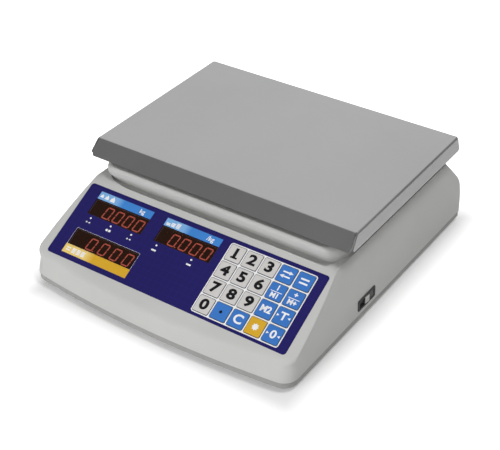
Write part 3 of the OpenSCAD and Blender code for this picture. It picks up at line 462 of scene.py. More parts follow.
class Form:
    """Heights and outlines of the body, worked out from its sizes."""

    def __init__(self):
        scene = bpy.context.scene
        self.b = b = scene.scale_body
        self.p = p = scene.scale_panel
        self.k = scene.scale_keys
        self.front = -b.depth / 2
        self.back = b.depth / 2
        self.split = b.foot_h + b.base_h
        self.panel_y = self.front + p.setback
        self.panel_z = b.foot_h + p.rise
        run = p.overlay_l + p.border
        self.top_y = self.panel_y + run * math.cos(p.tilt)
        self.top_z = self.panel_z + run * math.sin(p.tilt)
        self.deck_front = self.top_y + b.groove_w
        self.deck_z = self.top_z + b.deck_step
        self.nose_low = self.top_z + b.nose_gap
        self.nose_high = self.deck_z - b.deck_round
        self.back_z = b.foot_h + b.back_wall_h
        lean = math.tan(b.front_lean)
        crease_run = 1 / math.tan(p.tilt) - lean
        crease_mid = self.panel_z / math.tan(p.tilt) - p.setback - self.split * lean
        self.crease_low = (crease_mid - b.crease) / crease_run
        self.crease_high = (crease_mid + b.bow + b.crease) / crease_run
        self.on_panel = moved(0, self.panel_y, self.panel_z) @ turned("X", p.tilt)
        self.on_back = (
            moved(0, self.back, self.back_z)
            @ turned("Z", math.pi)
            @ turned("X", b.back_tilt)
            @ moved(0, p.back_up)
        )

    def half_width(self, z):
        """Half the body's width at a height."""
        b = self.b
        return b.width / 2 - max(z - b.foot_h - b.lean_start, 0.0) ** 2 / (2 * b.lean_r)

    def nose_back(self, z):
        """How far the deck's front edge lies behind its nose at a height."""
        share = min(max((self.nose_high - z) / (self.nose_high - self.nose_low), 0.0), 1.0)
        return self.b.nose_tuck * (1 - math.sqrt(1 - share * share))

    def lifted(self, ring, share):
        """A deck outline lifted to the rim, which dies out along the sides."""
        b = self.b
        start = self.deck_front + b.deck_corner_r
        out = []
        for x, y, z in ring:
            left = 1 - min(max((y - start) / b.rim_end, 0.0), 1.0)
            out.append((x, y, z + b.rim_h * share * left * left * (3 - 2 * left)))
        return out

    def front_edge(self, x, z, inset, nose):
        """Front of the body at a height: on the wall and panel, or at a height on the deck's nose."""
        b, p = self.b, self.p
        if nose:
            return self.deck_front + self.nose_back(nose) + inset
        lean = max(z - self.split, 0.0) * math.tan(b.front_lean)
        wall = self.front + b.bow * (2 * x / b.width) ** 2 + lean + inset
        slope = self.panel_y + (z - self.panel_z) / math.tan(p.tilt) + inset / math.sin(p.tilt)
        blend = max(b.crease - abs(wall - slope), 0.0)
        return max(wall, slope) + blend * blend / (4 * b.crease)

    def back_edge(self, z, inset):
        """Back of the body at a height: upright wall, fillet, then the slope."""
        b = self.b
        r = b.back_fillet - inset
        turn = self.back_z - inset * (1 - math.sin(b.back_tilt)) / math.cos(b.back_tilt)
        low = turn - r * math.tan((math.pi / 2 - b.back_tilt) / 2)
        if z <= low:
            return self.back - inset
        if z <= low + r * math.cos(b.back_tilt):
            return self.back - inset - r + math.sqrt(r * r - (z - low) ** 2)
        return self.back - inset - (z - turn) / math.tan(b.back_tilt)

    def front_corner(self, z, nose):
        """Front corner radius, tightening from the front wall to the panel's sides."""
        b, p = self.b, self.p
        if nose:
            return b.deck_corner_r
        share = (z - self.crease_low) / (self.crease_high - self.crease_low)
        return b.corner_r + (p.edge_r - b.corner_r) * min(max(share, 0.0), 1.0)

    def ring(self, z, inset=0.0, nose=0.0):
        """One level outline of the body, inset all round; for the deck, with a height on its nose."""
        least_r, step = 0.8 * MM, MM
        hw = self.half_width(z) - inset - (self.b.deck_inset if nose else 0.0)
        rf = max(self.front_corner(z, nose) - inset, least_r)
        rb = max(self.b.back_corner_r - inset, least_r)
        x0 = hw - rf
        rise = self.front_edge(x0 + step, z, inset, nose) - self.front_edge(x0, z, inset, nose)
        turn = math.atan2(rise, step)
        xc = x0 + rf * math.sin(turn)
        yc = self.front_edge(xc, z, inset, nose) + rf * math.cos(turn)
        yb = self.back_edge(z, inset) - rb
        right = arc((x0, yc), rf, turn - math.pi / 2, 0.0, CORNER_N)
        across = [xc * (2 * i / FRONT_N - 1) for i in range(FRONT_N)]
        points = [(x, self.front_edge(x, z, inset, nose)) for x in across]
        points += right
        points += arc((hw - rb, yb), rb, 0.0, math.pi / 2, CORNER_N)
        points += arc((rb - hw, yb), rb, math.pi / 2, math.pi, CORNER_N)
        points += [(-x, y) for x, y in reversed(right)][:-1]
        return [(x, y, z) for x, y in points]


def moved(x, y, z=0.0):
    """A shift along the three axes."""
    return Matrix.Translation((x, y, z))


def turned(axis, by):
    """A turn about one axis."""
    return Matrix.Rotation(by, 4, axis)


def spread(start, end, steps):
    """Even values from start to end, both included."""
    return [start + (end - start) * i / steps for i in range(steps + 1)]


def arc(centre, radius, start, end, steps):
    """Points on an arc, ends included."""
    cx, cy = centre
    return [(cx + radius * math.cos(a), cy + radius * math.sin(a)) for a in spread(start, end, steps)]


def round_rect(width, height, radius, steps=6):
    """Outline of a rectangle with rounded corners, about its own middle."""
    x, y = width / 2 - radius, height / 2 - radius
    quarter = math.pi / 2
    corners = ((x, y), (-x, y), (-x, -y), (x, -y))
    return [p for i, c in enumerate(corners) for p in arc(c, radius, i * quarter, (i + 1) * quarter, steps)]


def circle(radius, steps=48):
    """Outline of a circle."""
    return arc((0, 0), radius, 0.0, 2 * math.pi, steps)[:-1]


def add_loft(bm, rings):
    """Adds a closed solid through level outlines, from the lowest up."""
    rows = [[bm.verts.new(p) for p in ring] for ring in rings]
    count = len(rows[0])
    for low, high in zip(rows, rows[1:]):
        for i in range(count):
            j = (i + 1) % count
            bm.faces.new((low[i], low[j], high[j], high[i]))
    bm.faces.new(list(reversed(rows[0])))
    bm.faces.new(rows[-1])


def add_prism(bm, outline, low, high, matrix=None):
    """Adds an extruded outline between two heights of a local frame."""
    matrix = matrix or Matrix.Identity(4)
    rings = [[matrix @ Vector((x, y, z)) for x, y in outline] for z in (low, high)]
    add_loft(bm, rings)


def mesh_of(bm):
    """A mesh from a bmesh, which is freed."""
    mesh = bpy.data.meshes.new("piece")
    bm.to_mesh(mesh)
    bm.free()
    return mesh


def loft(rings):
    """The mesh of one closed solid through level outlines."""
    bm = bmesh.new()
    add_loft(bm, rings)
    return mesh_of(bm)


def add_cutter(cuts, outline, low, high, matrix=None):
    """Adds an extruded outline to a list of cutter meshes."""
    bm = bmesh.new()
    add_prism(bm, outline, low, high, matrix)
    cuts.append(mesh_of(bm))


def soften(mesh, degrees):
    """Smooth shading with sharp edges kept."""
    mesh.shade_smooth()
    mesh.set_sharp_from_angle(angle=math.radians(degrees))


def even(piece):
    """Lets large faces keep flat shading beside their rounded edges."""
    piece.modifiers.new("even", "WEIGHTED_NORMAL").keep_sharp = True


def linked(name, data):
    """A new object in the scene."""
    made = bpy.data.objects.new(name, data)
    bpy.context.scene.collection.objects.link(made)
    return made


def plain_mesh(holder):
    """The mesh of an object as its modifiers leave it. The object is removed."""
    made = bpy.data.meshes.new_from_object(holder.evaluated_get(bpy.context.evaluated_depsgraph_get()))
    bpy.data.objects.remove(holder)
    return made


def put(name, mesh, material, body, stands_for=()):
    """Makes a finished piece that rides on a body."""
    mesh.name = name
    piece = linked(name, mesh)
    if not any(mesh.materials):
        mesh.materials.append(material)
    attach(piece, body)
    if stands_for:
        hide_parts(*stands_for)
    return piece


def carve(mesh, cutters):
    """Cuts a list of cutter meshes out of a mesh, all at once."""
    work = linked("carve_work", mesh)
    tools = bpy.data.collections.new("carve_tools")
    bpy.context.scene.collection.children.link(tools)
    for cutter in cutters:
        tools.objects.link(bpy.data.objects.new("carve_tool", cutter))
    cut = work.modifiers.new("cut", "BOOLEAN")
    cut.operand_type = "COLLECTION"
    cut.collection = tools
    cut.solver = "EXACT"
    cut.operation = "DIFFERENCE"
    made = plain_mesh(work)
    for tool in list(tools.objects):
        bpy.data.objects.remove(tool)
    bpy.data.collections.remove(tools)
    return made


def dressed(node, material, bevel, name=None, degrees=32.0):
    """A copy of a CAD node with its edges broken by some millimetres, which stands for the node."""
    merge, flat, corner = 0.002 * MM, math.radians(0.5), math.radians(40)
    source = frame["nodes"][node]
    bm = bmesh.new()
    bm.from_mesh(source.data)
    bmesh.ops.remove_doubles(bm, verts=bm.verts, dist=merge)
    bmesh.ops.dissolve_limit(bm, angle_limit=flat, verts=bm.verts, edges=bm.edges)
    sharp = [e for e in bm.edges if len(e.link_faces) == 2 and e.calc_face_angle(0.0) > corner]
    bmesh.ops.bevel(
        bm, geom=sharp, offset=bevel * MM, segments=2, profile=0.6, affect="EDGES", clamp_overlap=True
    )
    mesh = mesh_of(bm)
    soften(mesh, degrees)
    piece = put(name or node + "_dressed", mesh, material, source["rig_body"], [node])
    even(piece)
    return piece


def finish_nodes(material, *nodes):
    """Gives CAD nodes a finish."""
    for node in nodes:
        mesh = frame["nodes"][node].data
        mesh.materials.clear()
        mesh.materials.append(material)


def middle(node):
    """Middle of a CAD node's box."""
    low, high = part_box(node)
    return (low + high) / 2


def extent(node):
    """Size of a CAD node's box."""
    low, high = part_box(node)
    return high - low


def window_place(form, node):
    """A window's middle on the panel, and its width."""
    at = form.on_panel.inverted() @ middle(node)
    return at.x, at.y, extent(node).x


class Print:
    """Printed signs in one mesh, placed in millimetres on a local frame."""

    def __init__(self, at=None):
        self.bm = bmesh.new()
        self.at = at

    def flat(self, outline, u=0.0, v=0.0):
        """Adds a filled outline."""
        points = [(x * MM, y * MM) for x, y in outline]
        add_prism(self.bm, points, 0.0, INK, self.at @ moved(u * MM, v * MM))

    def tab(self, width, height, corner, u=0.0, v=0.0):
        """Adds a bar with rounded corners."""
        self.flat(round_rect(width, height, corner, 3), u, v)

    def dot(self, radius, u=0.0, v=0.0, steps=20):
        """Adds a filled circle."""
        self.flat(circle(radius, steps), u, v)

    def arrow(self, size, side, u=0.0, v=0.0):
        """Adds an arrowhead that points right for side 1 and left for side -1."""
        half = side * size / 2
        self.flat([(-half, -half), (half, 0.0), (-half, half)], u, v)

    def coins(self, u, count):
        """Adds a pile of coins, seen from the side."""
        step, lowest = 1.5, -2.4
        for i in range(count):
            self.tab(4.8, 1.2, 0.4, u, step * i + lowest)

    def words(self, text, size, thick, u=0.0, v=0.0, stretch=1.0, align="CENTER"):
        """Adds a raised legend."""
        curve = bpy.data.curves.new("legend", "FONT")
        curve.body = text
        curve.size = size * MM
        curve.align_x = align
        curve.align_y = "CENTER"
        curve.offset = thick * MM
        curve.extrude = INK / 2
        curve.resolution_u = 4
        mesh = plain_mesh(linked("legend", curve))
        mesh.transform(self.at @ moved(u * MM, v * MM, INK / 2) @ Matrix.Diagonal((stretch, 1.0, 1.0, 1.0)))
        self.bm.from_mesh(mesh)
        bpy.data.curves.remove(curve)
        bpy.data.meshes.remove(mesh)


class Piece(bpy.types.Operator):
    """Base of the operators: each one builds a piece or a group of like pieces."""

    bl_options = {"REGISTER", "UNDO"}

    def execute(self, context):
        self.build(context.scene.scale_finish, Form())
        return {"FINISHED"}


class SCALE_OT_housing(Piece):
    """Builds the moulded housing and the base tray"""

    bl_idname = "counter_scale.housing"
    bl_label = "Housing"

    def build(self, finish, form):
        grey = moulded("moulded_grey", finish.housing)
        made = carve(self.shell(form), self.cutters(form))
        soften(made, 30.0)
        even(put("housing_shell", made, grey, "housing", ["upper_housing"]))
        self.collar(form, grey)
        self.tray(form, finish)

    def shell(self, form):
        """The body as a solid: front wall, crease, panel, overhanging nose, and deck with its rim."""
        b, land = form.b, 0.4 * MM
        crease_steps, slope_steps, round_steps = 32, 14, 10
        heights = [form.split]
        heights += spread(form.crease_low, form.crease_high, crease_steps)
        heights += spread(form.crease_high, form.top_z, slope_steps)[1:]
        rings = [form.ring(z) for z in heights]
        rings.append(form.ring(form.top_z + land, 0.0, form.nose_low))
        turns = spread(0.0, math.pi / 2, round_steps)
        for a in turns[:-1]:
            share = 1 - math.cos(a)
            z = form.nose_low + (form.nose_high - form.nose_low) * share
            rings.append(form.lifted(form.ring(z, 0.0, z), share))
        for a in turns:
            z = form.deck_z - b.deck_round * (1 - math.sin(a))
            inset = b.deck_round * (1 - math.cos(a))
            rings.append(form.lifted(form.ring(z, inset, form.deck_z), 1.0))
        inset = b.deck_round + b.rim_w
        rings.append(form.lifted(form.ring(form.deck_z, inset, form.deck_z), 1.0))
        rings.append(form.ring(form.deck_z, inset + b.rim_h / 2, form.deck_z))
        return loft(rings)

    def cutters(self, form):
        """Every opening of the housing, as closed cutter meshes."""
        cuts = []
        self.panel_openings(form, cuts)
        self.channel(form, cuts)
        self.fitting_openings(form, cuts)
        cuts.append(self.cavity(form))
        return cuts

    def panel_openings(self, form, cuts):
        """Seats of the overlays, and seats and openings of the panes and the key frame."""
        p, k = form.p, form.k
        frame_ledge = 0.75 * MM

        def seat(at, width, height, corner, depth):
            outline = round_rect(width + 2 * FIT, height + 2 * FIT, corner)
            add_cutter(cuts, outline, -depth, REACH, at)

        def opening(at, width, height, corner, ledge):
            outline = round_rect(width - 2 * ledge, height - 2 * ledge, corner)
            add_cutter(cuts, outline, -DEEP, REACH, at)

        def window(at, width):
            seat(at, width, p.window_h, 1.1 * MM, p.window_t)
            opening(at, width, p.window_h, MM, p.ledge)

        middle_up = p.overlay_l / 2
        seat(form.on_panel @ moved(0, middle_up), p.overlay_w, p.overlay_l, p.overlay_r, p.overlay_t)
        for node in WINDOWS:
            u, v, width = window_place(form, node)
            window(form.on_panel @ moved(u, v), width)
        keypad = form.on_panel @ moved(k.middle_u, k.middle_v)
        seat(keypad, k.frame_w, k.frame_l, 3 * MM, k.frame_t)
        opening(keypad, k.frame_w, k.frame_l, 2 * MM, frame_ledge)
        seat(form.on_back, p.back_w, p.back_l, p.overlay_r, p.overlay_t)
        for side in (-1, 0, 1):
            window(form.on_back @ moved(side * p.back_pitch, 0), p.back_window_w)

    def channel(self, form, cuts):
        """Groove between the panel and the nose. It follows the nose's corners and tapers out there."""
        left_turn, right_turn = 6, 10
        left_taper, right_taper = 9, 5
        overlap = 0.05 * MM
        base = [(x, y) for x, y, z in form.ring(form.top_z, 0.0, form.nose_low)]
        turn = base[FRONT_N : FRONT_N + right_turn]
        far = [(-x, y) for x, y in reversed(turn[:left_turn])] + base[1:FRONT_N] + turn
        near = []
        for i, (x, y) in enumerate(far):
            share = min(i / left_taper, (len(far) - 1 - i) / right_taper, 1.0)
            near.append((x, y - (y - form.top_y) * share))
        outline = near + [(x, y + overlap) for x, y in reversed(far)]
        add_cutter(cuts, outline, form.top_z - form.b.groove_depth, form.top_z + MM)

    def fitting_openings(self, form, cuts):
        """Holes for the load post, the bubble level, the mains inlet and the rocker switch."""
        b = form.b
        level_r, flange_t, bezel = 8.15 * MM, 1.5 * MM, 1.45 * MM
        inlet_w, inlet_h = 27.8 * MM, 20.3 * MM
        post = moved(b.post_hole_x, middle("load_post").y, form.deck_z)
        add_cutter(cuts, circle(b.post_hole_r), -4 * DEEP, REACH, post)
        at = middle("level_vial")
        add_cutter(cuts, circle(level_r), -DEEP, REACH, moved(at.x, at.y, form.deck_z))
        at, size = middle("mains_inlet"), extent("mains_inlet")
        inlet = moved(at.x, form.back, at.z) @ turned("X", -math.pi / 2)
        flange = round_rect(size.x + 2 * FIT, size.z + 2 * FIT, 3 * MM)
        add_cutter(cuts, flange, -flange_t, REACH, inlet)
        add_cutter(cuts, round_rect(inlet_w, inlet_h, 2 * MM), -3 * DEEP, REACH, inlet)
        at, size = middle("power_switch_frame"), extent("power_switch_frame")
        switch = moved(b.width / 2, at.y, at.z) @ turned("Y", math.pi / 2)
        hole = round_rect(size.z - 2 * bezel, size.y - 2 * bezel, MM)
        add_cutter(cuts, hole, -2 * DEEP, REACH, switch)

    def cavity(self, form):
        """The hollow inside: the same outlines, inset by the wall, up to a level roof below the deck."""
        wall, backing, land, steps = form.b.wall, 8 * MM, 0.3 * MM, 24
        high = form.top_z - backing
        heights = [form.split - MM] + spread(form.crease_low, high, steps)
        rings = [form.ring(z, wall) for z in heights]
        rings += [form.ring(z, wall, form.nose_low) for z in (high + land, form.deck_z - wall)]
        return loft(rings)

    def collar(self, form, grey):
        """Drip collar round the load post's hole, turned from a profile of radius and height."""
        b = form.b
        inner, outer = b.post_hole_r + 0.05 * MM, b.post_hole_r + b.wall
        inner_edge, outer_edge, steps = 0.7 * MM, 0.8 * MM, 64
        profile = (
            (inner, -1.5 * MM),
            (outer + 1.2 * MM, -0.2 * MM),
            (outer + 0.3 * MM, 0.6 * MM),
            (outer, b.collar_h - outer_edge),
            (outer - outer_edge, b.collar_h),
            (b.post_hole_r + inner_edge, b.collar_h),
            (inner, b.collar_h - inner_edge),
        )
        centre = Vector((b.post_hole_x, middle("load_post").y, form.deck_z))
        mesh = turned_ring(profile, centre, steps)
        soften(mesh, 50.0)
        put("post_collar", mesh, grey, "housing")

    def tray(self, form, finish):
        """Base tray under the housing, with holes for the feet and seats for the screws."""
        b = form.b
        edge, seam, lip = 0.8 * MM, 0.1 * MM, b.wall + FIT
        foot_r, foot_depth = 6.45 * MM, 20 * MM
        seat_r, seat_depth = 3.35 * MM, 2 * MM
        steps = (
            (b.foot_h, b.undercut + edge),
            (b.foot_h + 0.3 * edge, b.undercut + 0.2 * edge),
            (b.foot_h + edge, b.undercut - 0.5 * edge),
            (form.split - 2 * edge, edge),
            (form.split - 1.2 * edge, 0.2 * edge),
            (form.split - 2 * seam, 0.0),
            (form.split - seam, 2.5 * seam),
            (form.split - seam, lip),
            (form.split + 3 * MM, lip),
        )
        cuts = []
        for node in FEET:
            at = middle(node)
            add_cutter(cuts, circle(foot_r), -REACH, foot_depth, moved(at.x, at.y, b.foot_h))
        for x, y in screw_places():
            add_cutter(cuts, circle(seat_r), -REACH, seat_depth, moved(x, y, b.foot_h))
        made = carve(loft([form.ring(z, inset) for z, inset in steps]), cuts)
        soften(made, 30.0)
        grey = moulded("moulded_base", finish.base, 0.58)
        put("base_tray", made, grey, "housing", ["lower_base"])


def turned_ring(profile, centre, steps):
    """The mesh of a closed ring turned about a vertical axis."""
    bm = bmesh.new()
    rows = []
    for i in range(steps):
        turn = turned("Z", 2 * math.pi * i / steps)
        rows.append([bm.verts.new(centre + turn @ Vector((r, 0.0, z))) for r, z in profile])
    add_bands(bm, rows)
    return mesh_of(bm)


def add_bands(bm, rows):
    """Closes rows of points, each one a loop, into a ring that ends where it starts."""
    count = len(rows[0])
    for near, far in zip(rows, rows[1:] + rows[:1]):
        for i in range(count):
            j = (i + 1) % count
            bm.faces.new((near[i], far[i], far[j], near[j]))
    bmesh.ops.recalc_face_normals(bm, faces=bm.faces)


def screw_places():
    """Places of the six housing screws, taken from their CAD node's corners."""
    low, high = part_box("housing_screws")
    radius = 3.2 * MM
    x = high.x - radius
    front, back = low.y + radius, high.y - radius
    return [(side * x, y) for side in (-1, 1) for y in (front, 0.0, back)]


class SCALE_OT_panel(Piece):
    """Builds the panel's overlay, its printed bars, marks and outlines"""

    bl_idname = "counter_scale.panel"
    bl_label = "Panel Print"

    def build(self, finish, form):
        finish_nodes(overlay_sheet("printed_navy", finish.navy), "panel_overlay", "rear_overlay")
        finish_nodes(tinted_pane("tinted_pane"), *WINDOWS, "rear_windows")
        self.bars(form, finish)
        self.marks(form, finish)

    def bars(self, form, finish):
        """Label bars above the upper windows and below the total window, with their signs."""
        blue, amber = (finish.label, finish.label_pale), (finish.amber, finish.amber_pale)
        upper = {"height": 9.1 * MM, "extra": 0.0, "gap": 0.4 * MM, "colours": blue}
        lower = {"height": 10.4 * MM, "extra": 2 * MM, "gap": -0.2 * MM, "colours": amber}
        unit = {"size": 7.2, "u": 61.0, "thick": 0.12, "align": "RIGHT"}
        weight = ((-0.55, -0.45), (0.55, -0.45), (0.36, 0.25), (-0.36, 0.25))
        coin_pitch = 6.0
        signs = Print()
        signs.at = self.bar(form, "weight_bar", "weight_window", **upper)
        for u, size in ((4.0, 4.0), (10.6, 5.0), (18.2, 6.0)):
            signs.flat([(x * size, y * size) for x, y in weight], u, 0.03 * size - 0.3)
            signs.dot(0.16 * size, u, 0.4 * size - 0.3, 16)
        signs.words("kg", **unit)
        signs.at = self.bar(form, "price_bar", "price_window", **upper)
        for i in range(3):
            signs.coins(4.4 + coin_pitch * i, 2 + i)
        signs.words("/kg", **unit)
        signs.at = self.bar(form, "total_bar", "total_window", **lower)
        for v in (-1.3, 1.3):
            signs.tab(5.4, 1.4, 0.3, 5.0, v)
        for i in range(3):
            signs.coins(12.4 + coin_pitch * i, 4)
        white = printed("bar_white", finish.white)
        put("bar_signs", mesh_of(signs.bm), white, "housing")

    def bar(self, form, name, node, height, extra, gap, colours):
        """One bar above or below a window, paler at its left. Returns the frame at its left end."""
        fade_start, fade_end = -0.16, -0.04
        rgb, pale = colours
        u, v, width = window_place(form, node)
        side = 1 if gap > 0 else -1
        up = v + side * (form.p.window_h + height) / 2 + gap
        bm = bmesh.new()
        outline = round_rect(width + extra, height, 0.5 * MM, 3)
        add_prism(bm, outline, 0.0, INK, form.on_panel @ moved(u, up))
        ink = printed(name + "_print", rgb, (pale, u + fade_start * width, u + fade_end * width))
        put(name, mesh_of(bm), ink, "housing")
        return form.on_panel @ moved(u - width / 2, up, INK)

    def marks(self, form, finish):
        """White print: indicator dots, small signs and the total window's outline."""
        dots = (-123.8, -96.7, -69.4, -36.4, 7.6)
        dot_v, sign_v, word_v, apart = 50.7, 45.4, 45.0, 1.4
        margin, line = 0.9 * MM, 0.2 * MM
        marks = Print(form.on_panel)
        for u in dots:
            marks.dot(1.05, u, dot_v)
        for u in (dots[0], dots[2]):
            for side in (1, -1):
                marks.arrow(2.2, side, u - apart * side, sign_v)
        marks.dot(1.4, dots[1] - 1.7, sign_v)
        marks.tab(2.7, 2.5, 0.4, dots[1] + 1.7, sign_v)
        for u in dots[3:]:
            marks.tab(5.6, 1.8, 0.5, u, word_v)
        u, v, width = window_place(form, "total_window")
        add_frame(marks.bm, width + margin, form.p.window_h + margin, line, form.on_panel @ moved(u, v))
        white = printed("printed_white", finish.white)
        put("panel_marks", mesh_of(marks.bm), white, "housing")


def add_frame(bm, width, height, line, matrix):
    """Adds a thin printed frame."""
    corner = 0.6 * MM
    inner = round_rect(width, height, corner, 3)
    outer = round_rect(width + 2 * line, height + 2 * line, corner + line, 3)
    loops = []
    for outline, z in ((inner, 0.0), (outer, 0.0), (outer, INK), (inner, INK)):
        loops.append([bm.verts.new(matrix @ Vector((x, y, z))) for x, y in outline])
    add_bands(bm, loops)


class SCALE_OT_displays(Piece):
    """Builds the lit digits behind the panes"""

    bl_idname = "counter_scale.displays"
    bl_label = "Displays"

    def build(self, finish, form):
        block = moulded("digit_block", finish.rubber, 0.6)
        finish_nodes(block, "weight_digits", "price_digits", "total_digits", "rear_digits")
        on = lamp("digit_lit", finish.lit, strength=9.0)
        drop, rear_drop, rear_right, rear_pitch = 0.6 * MM, 0.3 * MM, 31 * MM, 13.5 * MM
        depth = -(form.b.wall + 0.12 * MM)
        # Each row's window, the distance between its digits and its right end
        for show, pitch, right in (("weight", 13.6, -64.2), ("price", 13.6, 22.4), ("total", 15.9, -52.4)):
            v = window_place(form, show + "_window")[1]
            at = form.on_panel @ moved(right * MM, v - drop, depth)
            self.row(show + "_segments", at, pitch * MM, on)
        for side, name in enumerate(("left", "middle", "right"), -1):
            at = form.on_back @ moved(side * form.p.back_pitch + rear_right, -rear_drop, depth)
            self.row("rear_segments_" + name, at, rear_pitch, on)

    def row(self, name, at, pitch, on):
        """Four noughts with a point after the first, ending at a right edge."""
        count, width, height, margin = 4, 9.4 * MM, 14.2 * MM, 0.6 * MM
        point_r, point_u, point_v, point_t = 0.75 * MM, -0.1 * MM, 0.8 * MM, 0.06 * MM
        bm = bmesh.new()
        add_nought(bm, moved(-width / 2 - margin, 0), width, height)
        values = {"Count": count, "Step": (-pitch, 0.0, 0.0)}
        digits = nodes_mesh(row_tree(on), values, mesh_of(bm))
        bm = bmesh.new()
        bm.from_mesh(digits)
        point = moved((1 - count) * pitch + point_u, point_v - height / 2)
        add_prism(bm, circle(point_r, 16), 0.0, point_t, point)
        for face in bm.faces:
            face.material_index = 0
        bm.to_mesh(digits)
        bm.free()
        digits.materials.clear()
        digits.transform(at)
        put(name, digits, on, "housing")


def row_tree(material):
    """Geometry nodes: copies of one digit in a row."""
    sizes = {"Geometry": "Geometry", "Count": "Int", "Step": "Vector"}
    g, (digit, count, step) = node_group("digit_row", sizes)
    points = g.node("GeometryNodeMeshLine", {"mode": "OFFSET"}, {"Count": count, "Offset": step})
    copies = g.node("GeometryNodeInstanceOnPoints", None, {"Points": points, "Instance": digit})
    return close_group(g, copies, material)


def add_nought(bm, matrix, width, height):
    """Adds the six outer segments of one slanted digit."""
    thick, gap, lean, raised = 1.3 * MM, 0.12 * MM, 0.12, 0.05 * MM
    w, h, t = (width - thick) / 2, (height - thick) / 2, thick / 2
    ends = [Vector(p) for p in ((-w, h), (w, h), (w, 0.0), (w, -h), (-w, -h), (-w, 0.0))]
    for start, end in zip(ends, ends[1:] + ends[:1]):
        along = (end - start).normalized()
        across = Vector((-along.y, along.x)) * t
        start, end, nib = start + along * gap, end - along * gap, along * t
        below = [start + nib - across, end - nib - across]
        above = [end - nib + across, start + nib + across]
        outline = [start, *below, end, *above]
        add_prism(bm, [(q.x + lean * q.y, q.y) for q in outline], 0.0, raised, matrix)


class SCALE_OT_keys(Piece):
    """Builds the key caps, their legends and the white frame"""

    bl_idname = "counter_scale.keys"
    bl_label = "Keys"

    def build(self, finish, form):
        k = form.k
        caps = {
            "key_grey": printed("key_grey_print", finish.key_grey),
            "key_blue": printed("key_blue_print", finish.key_blue),
            "key_yellow": printed("key_amber_print", finish.amber),
        }
        dark = printed("key_ink", finish.ink)
        white = printed("key_white_ink", finish.white)
        line = printed("key_outline_ink", finish.line)
        dressed("key_frame", printed("frame_white", finish.white), 0.12)
        for row, names in enumerate(KEY_ROWS):
            for col, name in enumerate(names):
                node = "key_" + name
                slot = "key_grey" if name.isdigit() else "key_yellow" if name == "enter" else "key_blue"
                # Each cap's sides get the line's colour, painted shade beside the printed line
                self.edges(dressed(node, caps[slot], 0.35, node + "_cap"), form, line)
                u = k.middle_u + (col - (k.columns - 1) / 2) * k.pitch
                v = k.middle_v + ((k.rows - 1) / 2 - row) * k.pitch
                legend = Print(form.on_panel @ moved(u, v, k.proud))
                self.legend(legend, name)
                ink = dark if name.isdigit() or name == "point" else white
                put(node + "_legend", mesh_of(legend.bm), ink, node)
        self.outlines(form, line)

    def edges(self, piece, form, ink):
        """Gives a cap's sides and broken edges the colour of the printed line: painted shade on the sides,
        which widens the printed line round the key.
        """
        level = 0.9
        up = form.on_panel.to_3x3() @ Vector((0.0, 0.0, 1.0))
        piece.data.materials.append(ink)
        # Faces that turn away from the panel take the line's dark colour as painted shade
        for face in piece.data.polygons:
            face.material_index = int(face.normal.dot(up) < level)

    def legend(self, sign, name):
        """Adds one key's legend: a number, a letter or a plain sign."""
        if name.isdigit():
            sign.words(name, 15.0, thick=0.62, stretch=1.25)
            if name == "1":
                sign.tab(7.6, 1.9, 0.2, u=0.3, v=-4.4)
        elif name == "clear":
            sign.words("C", 13.4, thick=0.4, stretch=1.1)
        elif name == "point":
            sign.dot(1.6)
        elif name == "enter":
            sign.flat(sun(3.9, 2.7, 8))
        elif name in ("zero", "tare"):
            sign.words("0" if name == "zero" else "T", 11.5, thick=0.3, stretch=1.15)
            for side in (1, -1):
                sign.arrow(2.8, side, u=-6.0 * side)
        elif name == "change":
            for side in (-1, 1):
                sign.tab(8.4, 1.6, 0.4, u=-0.8 * side, v=2.4 * side)
                sign.arrow(4.2, side, u=4.4 * side, v=2.4 * side)
        elif name == "sum":
            for side in (1, -1):
                sign.tab(9.4, 1.9, 0.4, v=2.2 * side)
        elif name == "memory_3":
            sign.words("M2", 9.4, thick=0.4)
        else:
            lower, upper = ("M1", "1") if name == "memory_1" else ("M+", "+")
            sign.tab(12.6, 0.7, 0.2)
            sign.words(lower, 7.4, v=-4.2, thick=0.3)
            sign.words(upper, 7.4, v=4.2, thick=0.3)

    def outlines(self, form, line):
        """Printed line round every key, repeated over the grid by a node tree."""
        k, gap = form.k, 0.15 * MM
        values = {
            "Columns": k.columns,
            "Rows": k.rows,
            "Pitch": k.pitch,
            "Side": k.cap + 2 * gap + k.outline,
            "Corner": k.corner,
            "Line": k.outline,
            "Height": 2 * INK,
        }
        mesh = nodes_mesh(outline_tree(line), values)
        mesh.transform(form.on_panel @ moved(k.middle_u, k.middle_v))
        put("key_outlines", mesh, line, "housing")


def sun(outer, inner, rays):
    """Outline of a small sun."""
    turns = spread(0.0, 2 * math.pi, 2 * rays)[:-1]
    radii = (outer, inner) * rays
    return [(r * math.cos(a), r * math.sin(a)) for r, a in zip(radii, turns)]


def outline_tree(material):
    """Geometry nodes: a rounded square line on every point of a grid."""
    sizes = {"Columns": "Int", "Rows": "Int"}
    sizes.update({name: "Float" for name in ("Pitch", "Side", "Corner", "Line", "Height")})
    g, (columns, rows, pitch, side, corner, line, height) = node_group("key_outline_grid", sizes)
    points = g.node(
        "GeometryNodeMeshGrid",
        None,
        {
            "Size X": (columns - 1.0) * pitch,
            "Size Y": (rows - 1.0) * pitch,
            "Vertices X": columns,
            "Vertices Y": rows,
        },
    )
    square = g.node("GeometryNodeCurvePrimitiveQuadrilateral", None, {"Width": side, "Height": side})
    path = g.node(
        "GeometryNodeFilletCurve", {"mode": "POLY"}, {"Curve": square, "Count": 5, "Radius": corner}
    )
    profile = g.node("GeometryNodeCurvePrimitiveQuadrilateral", None, {"Width": line, "Height": height})
    tube = g.node("GeometryNodeCurveToMesh", None, {"Curve": path, "Profile Curve": profile})
    copies = g.node("GeometryNodeInstanceOnPoints", None, {"Points": points, "Instance": tube})
    return close_group(g, copies, material)


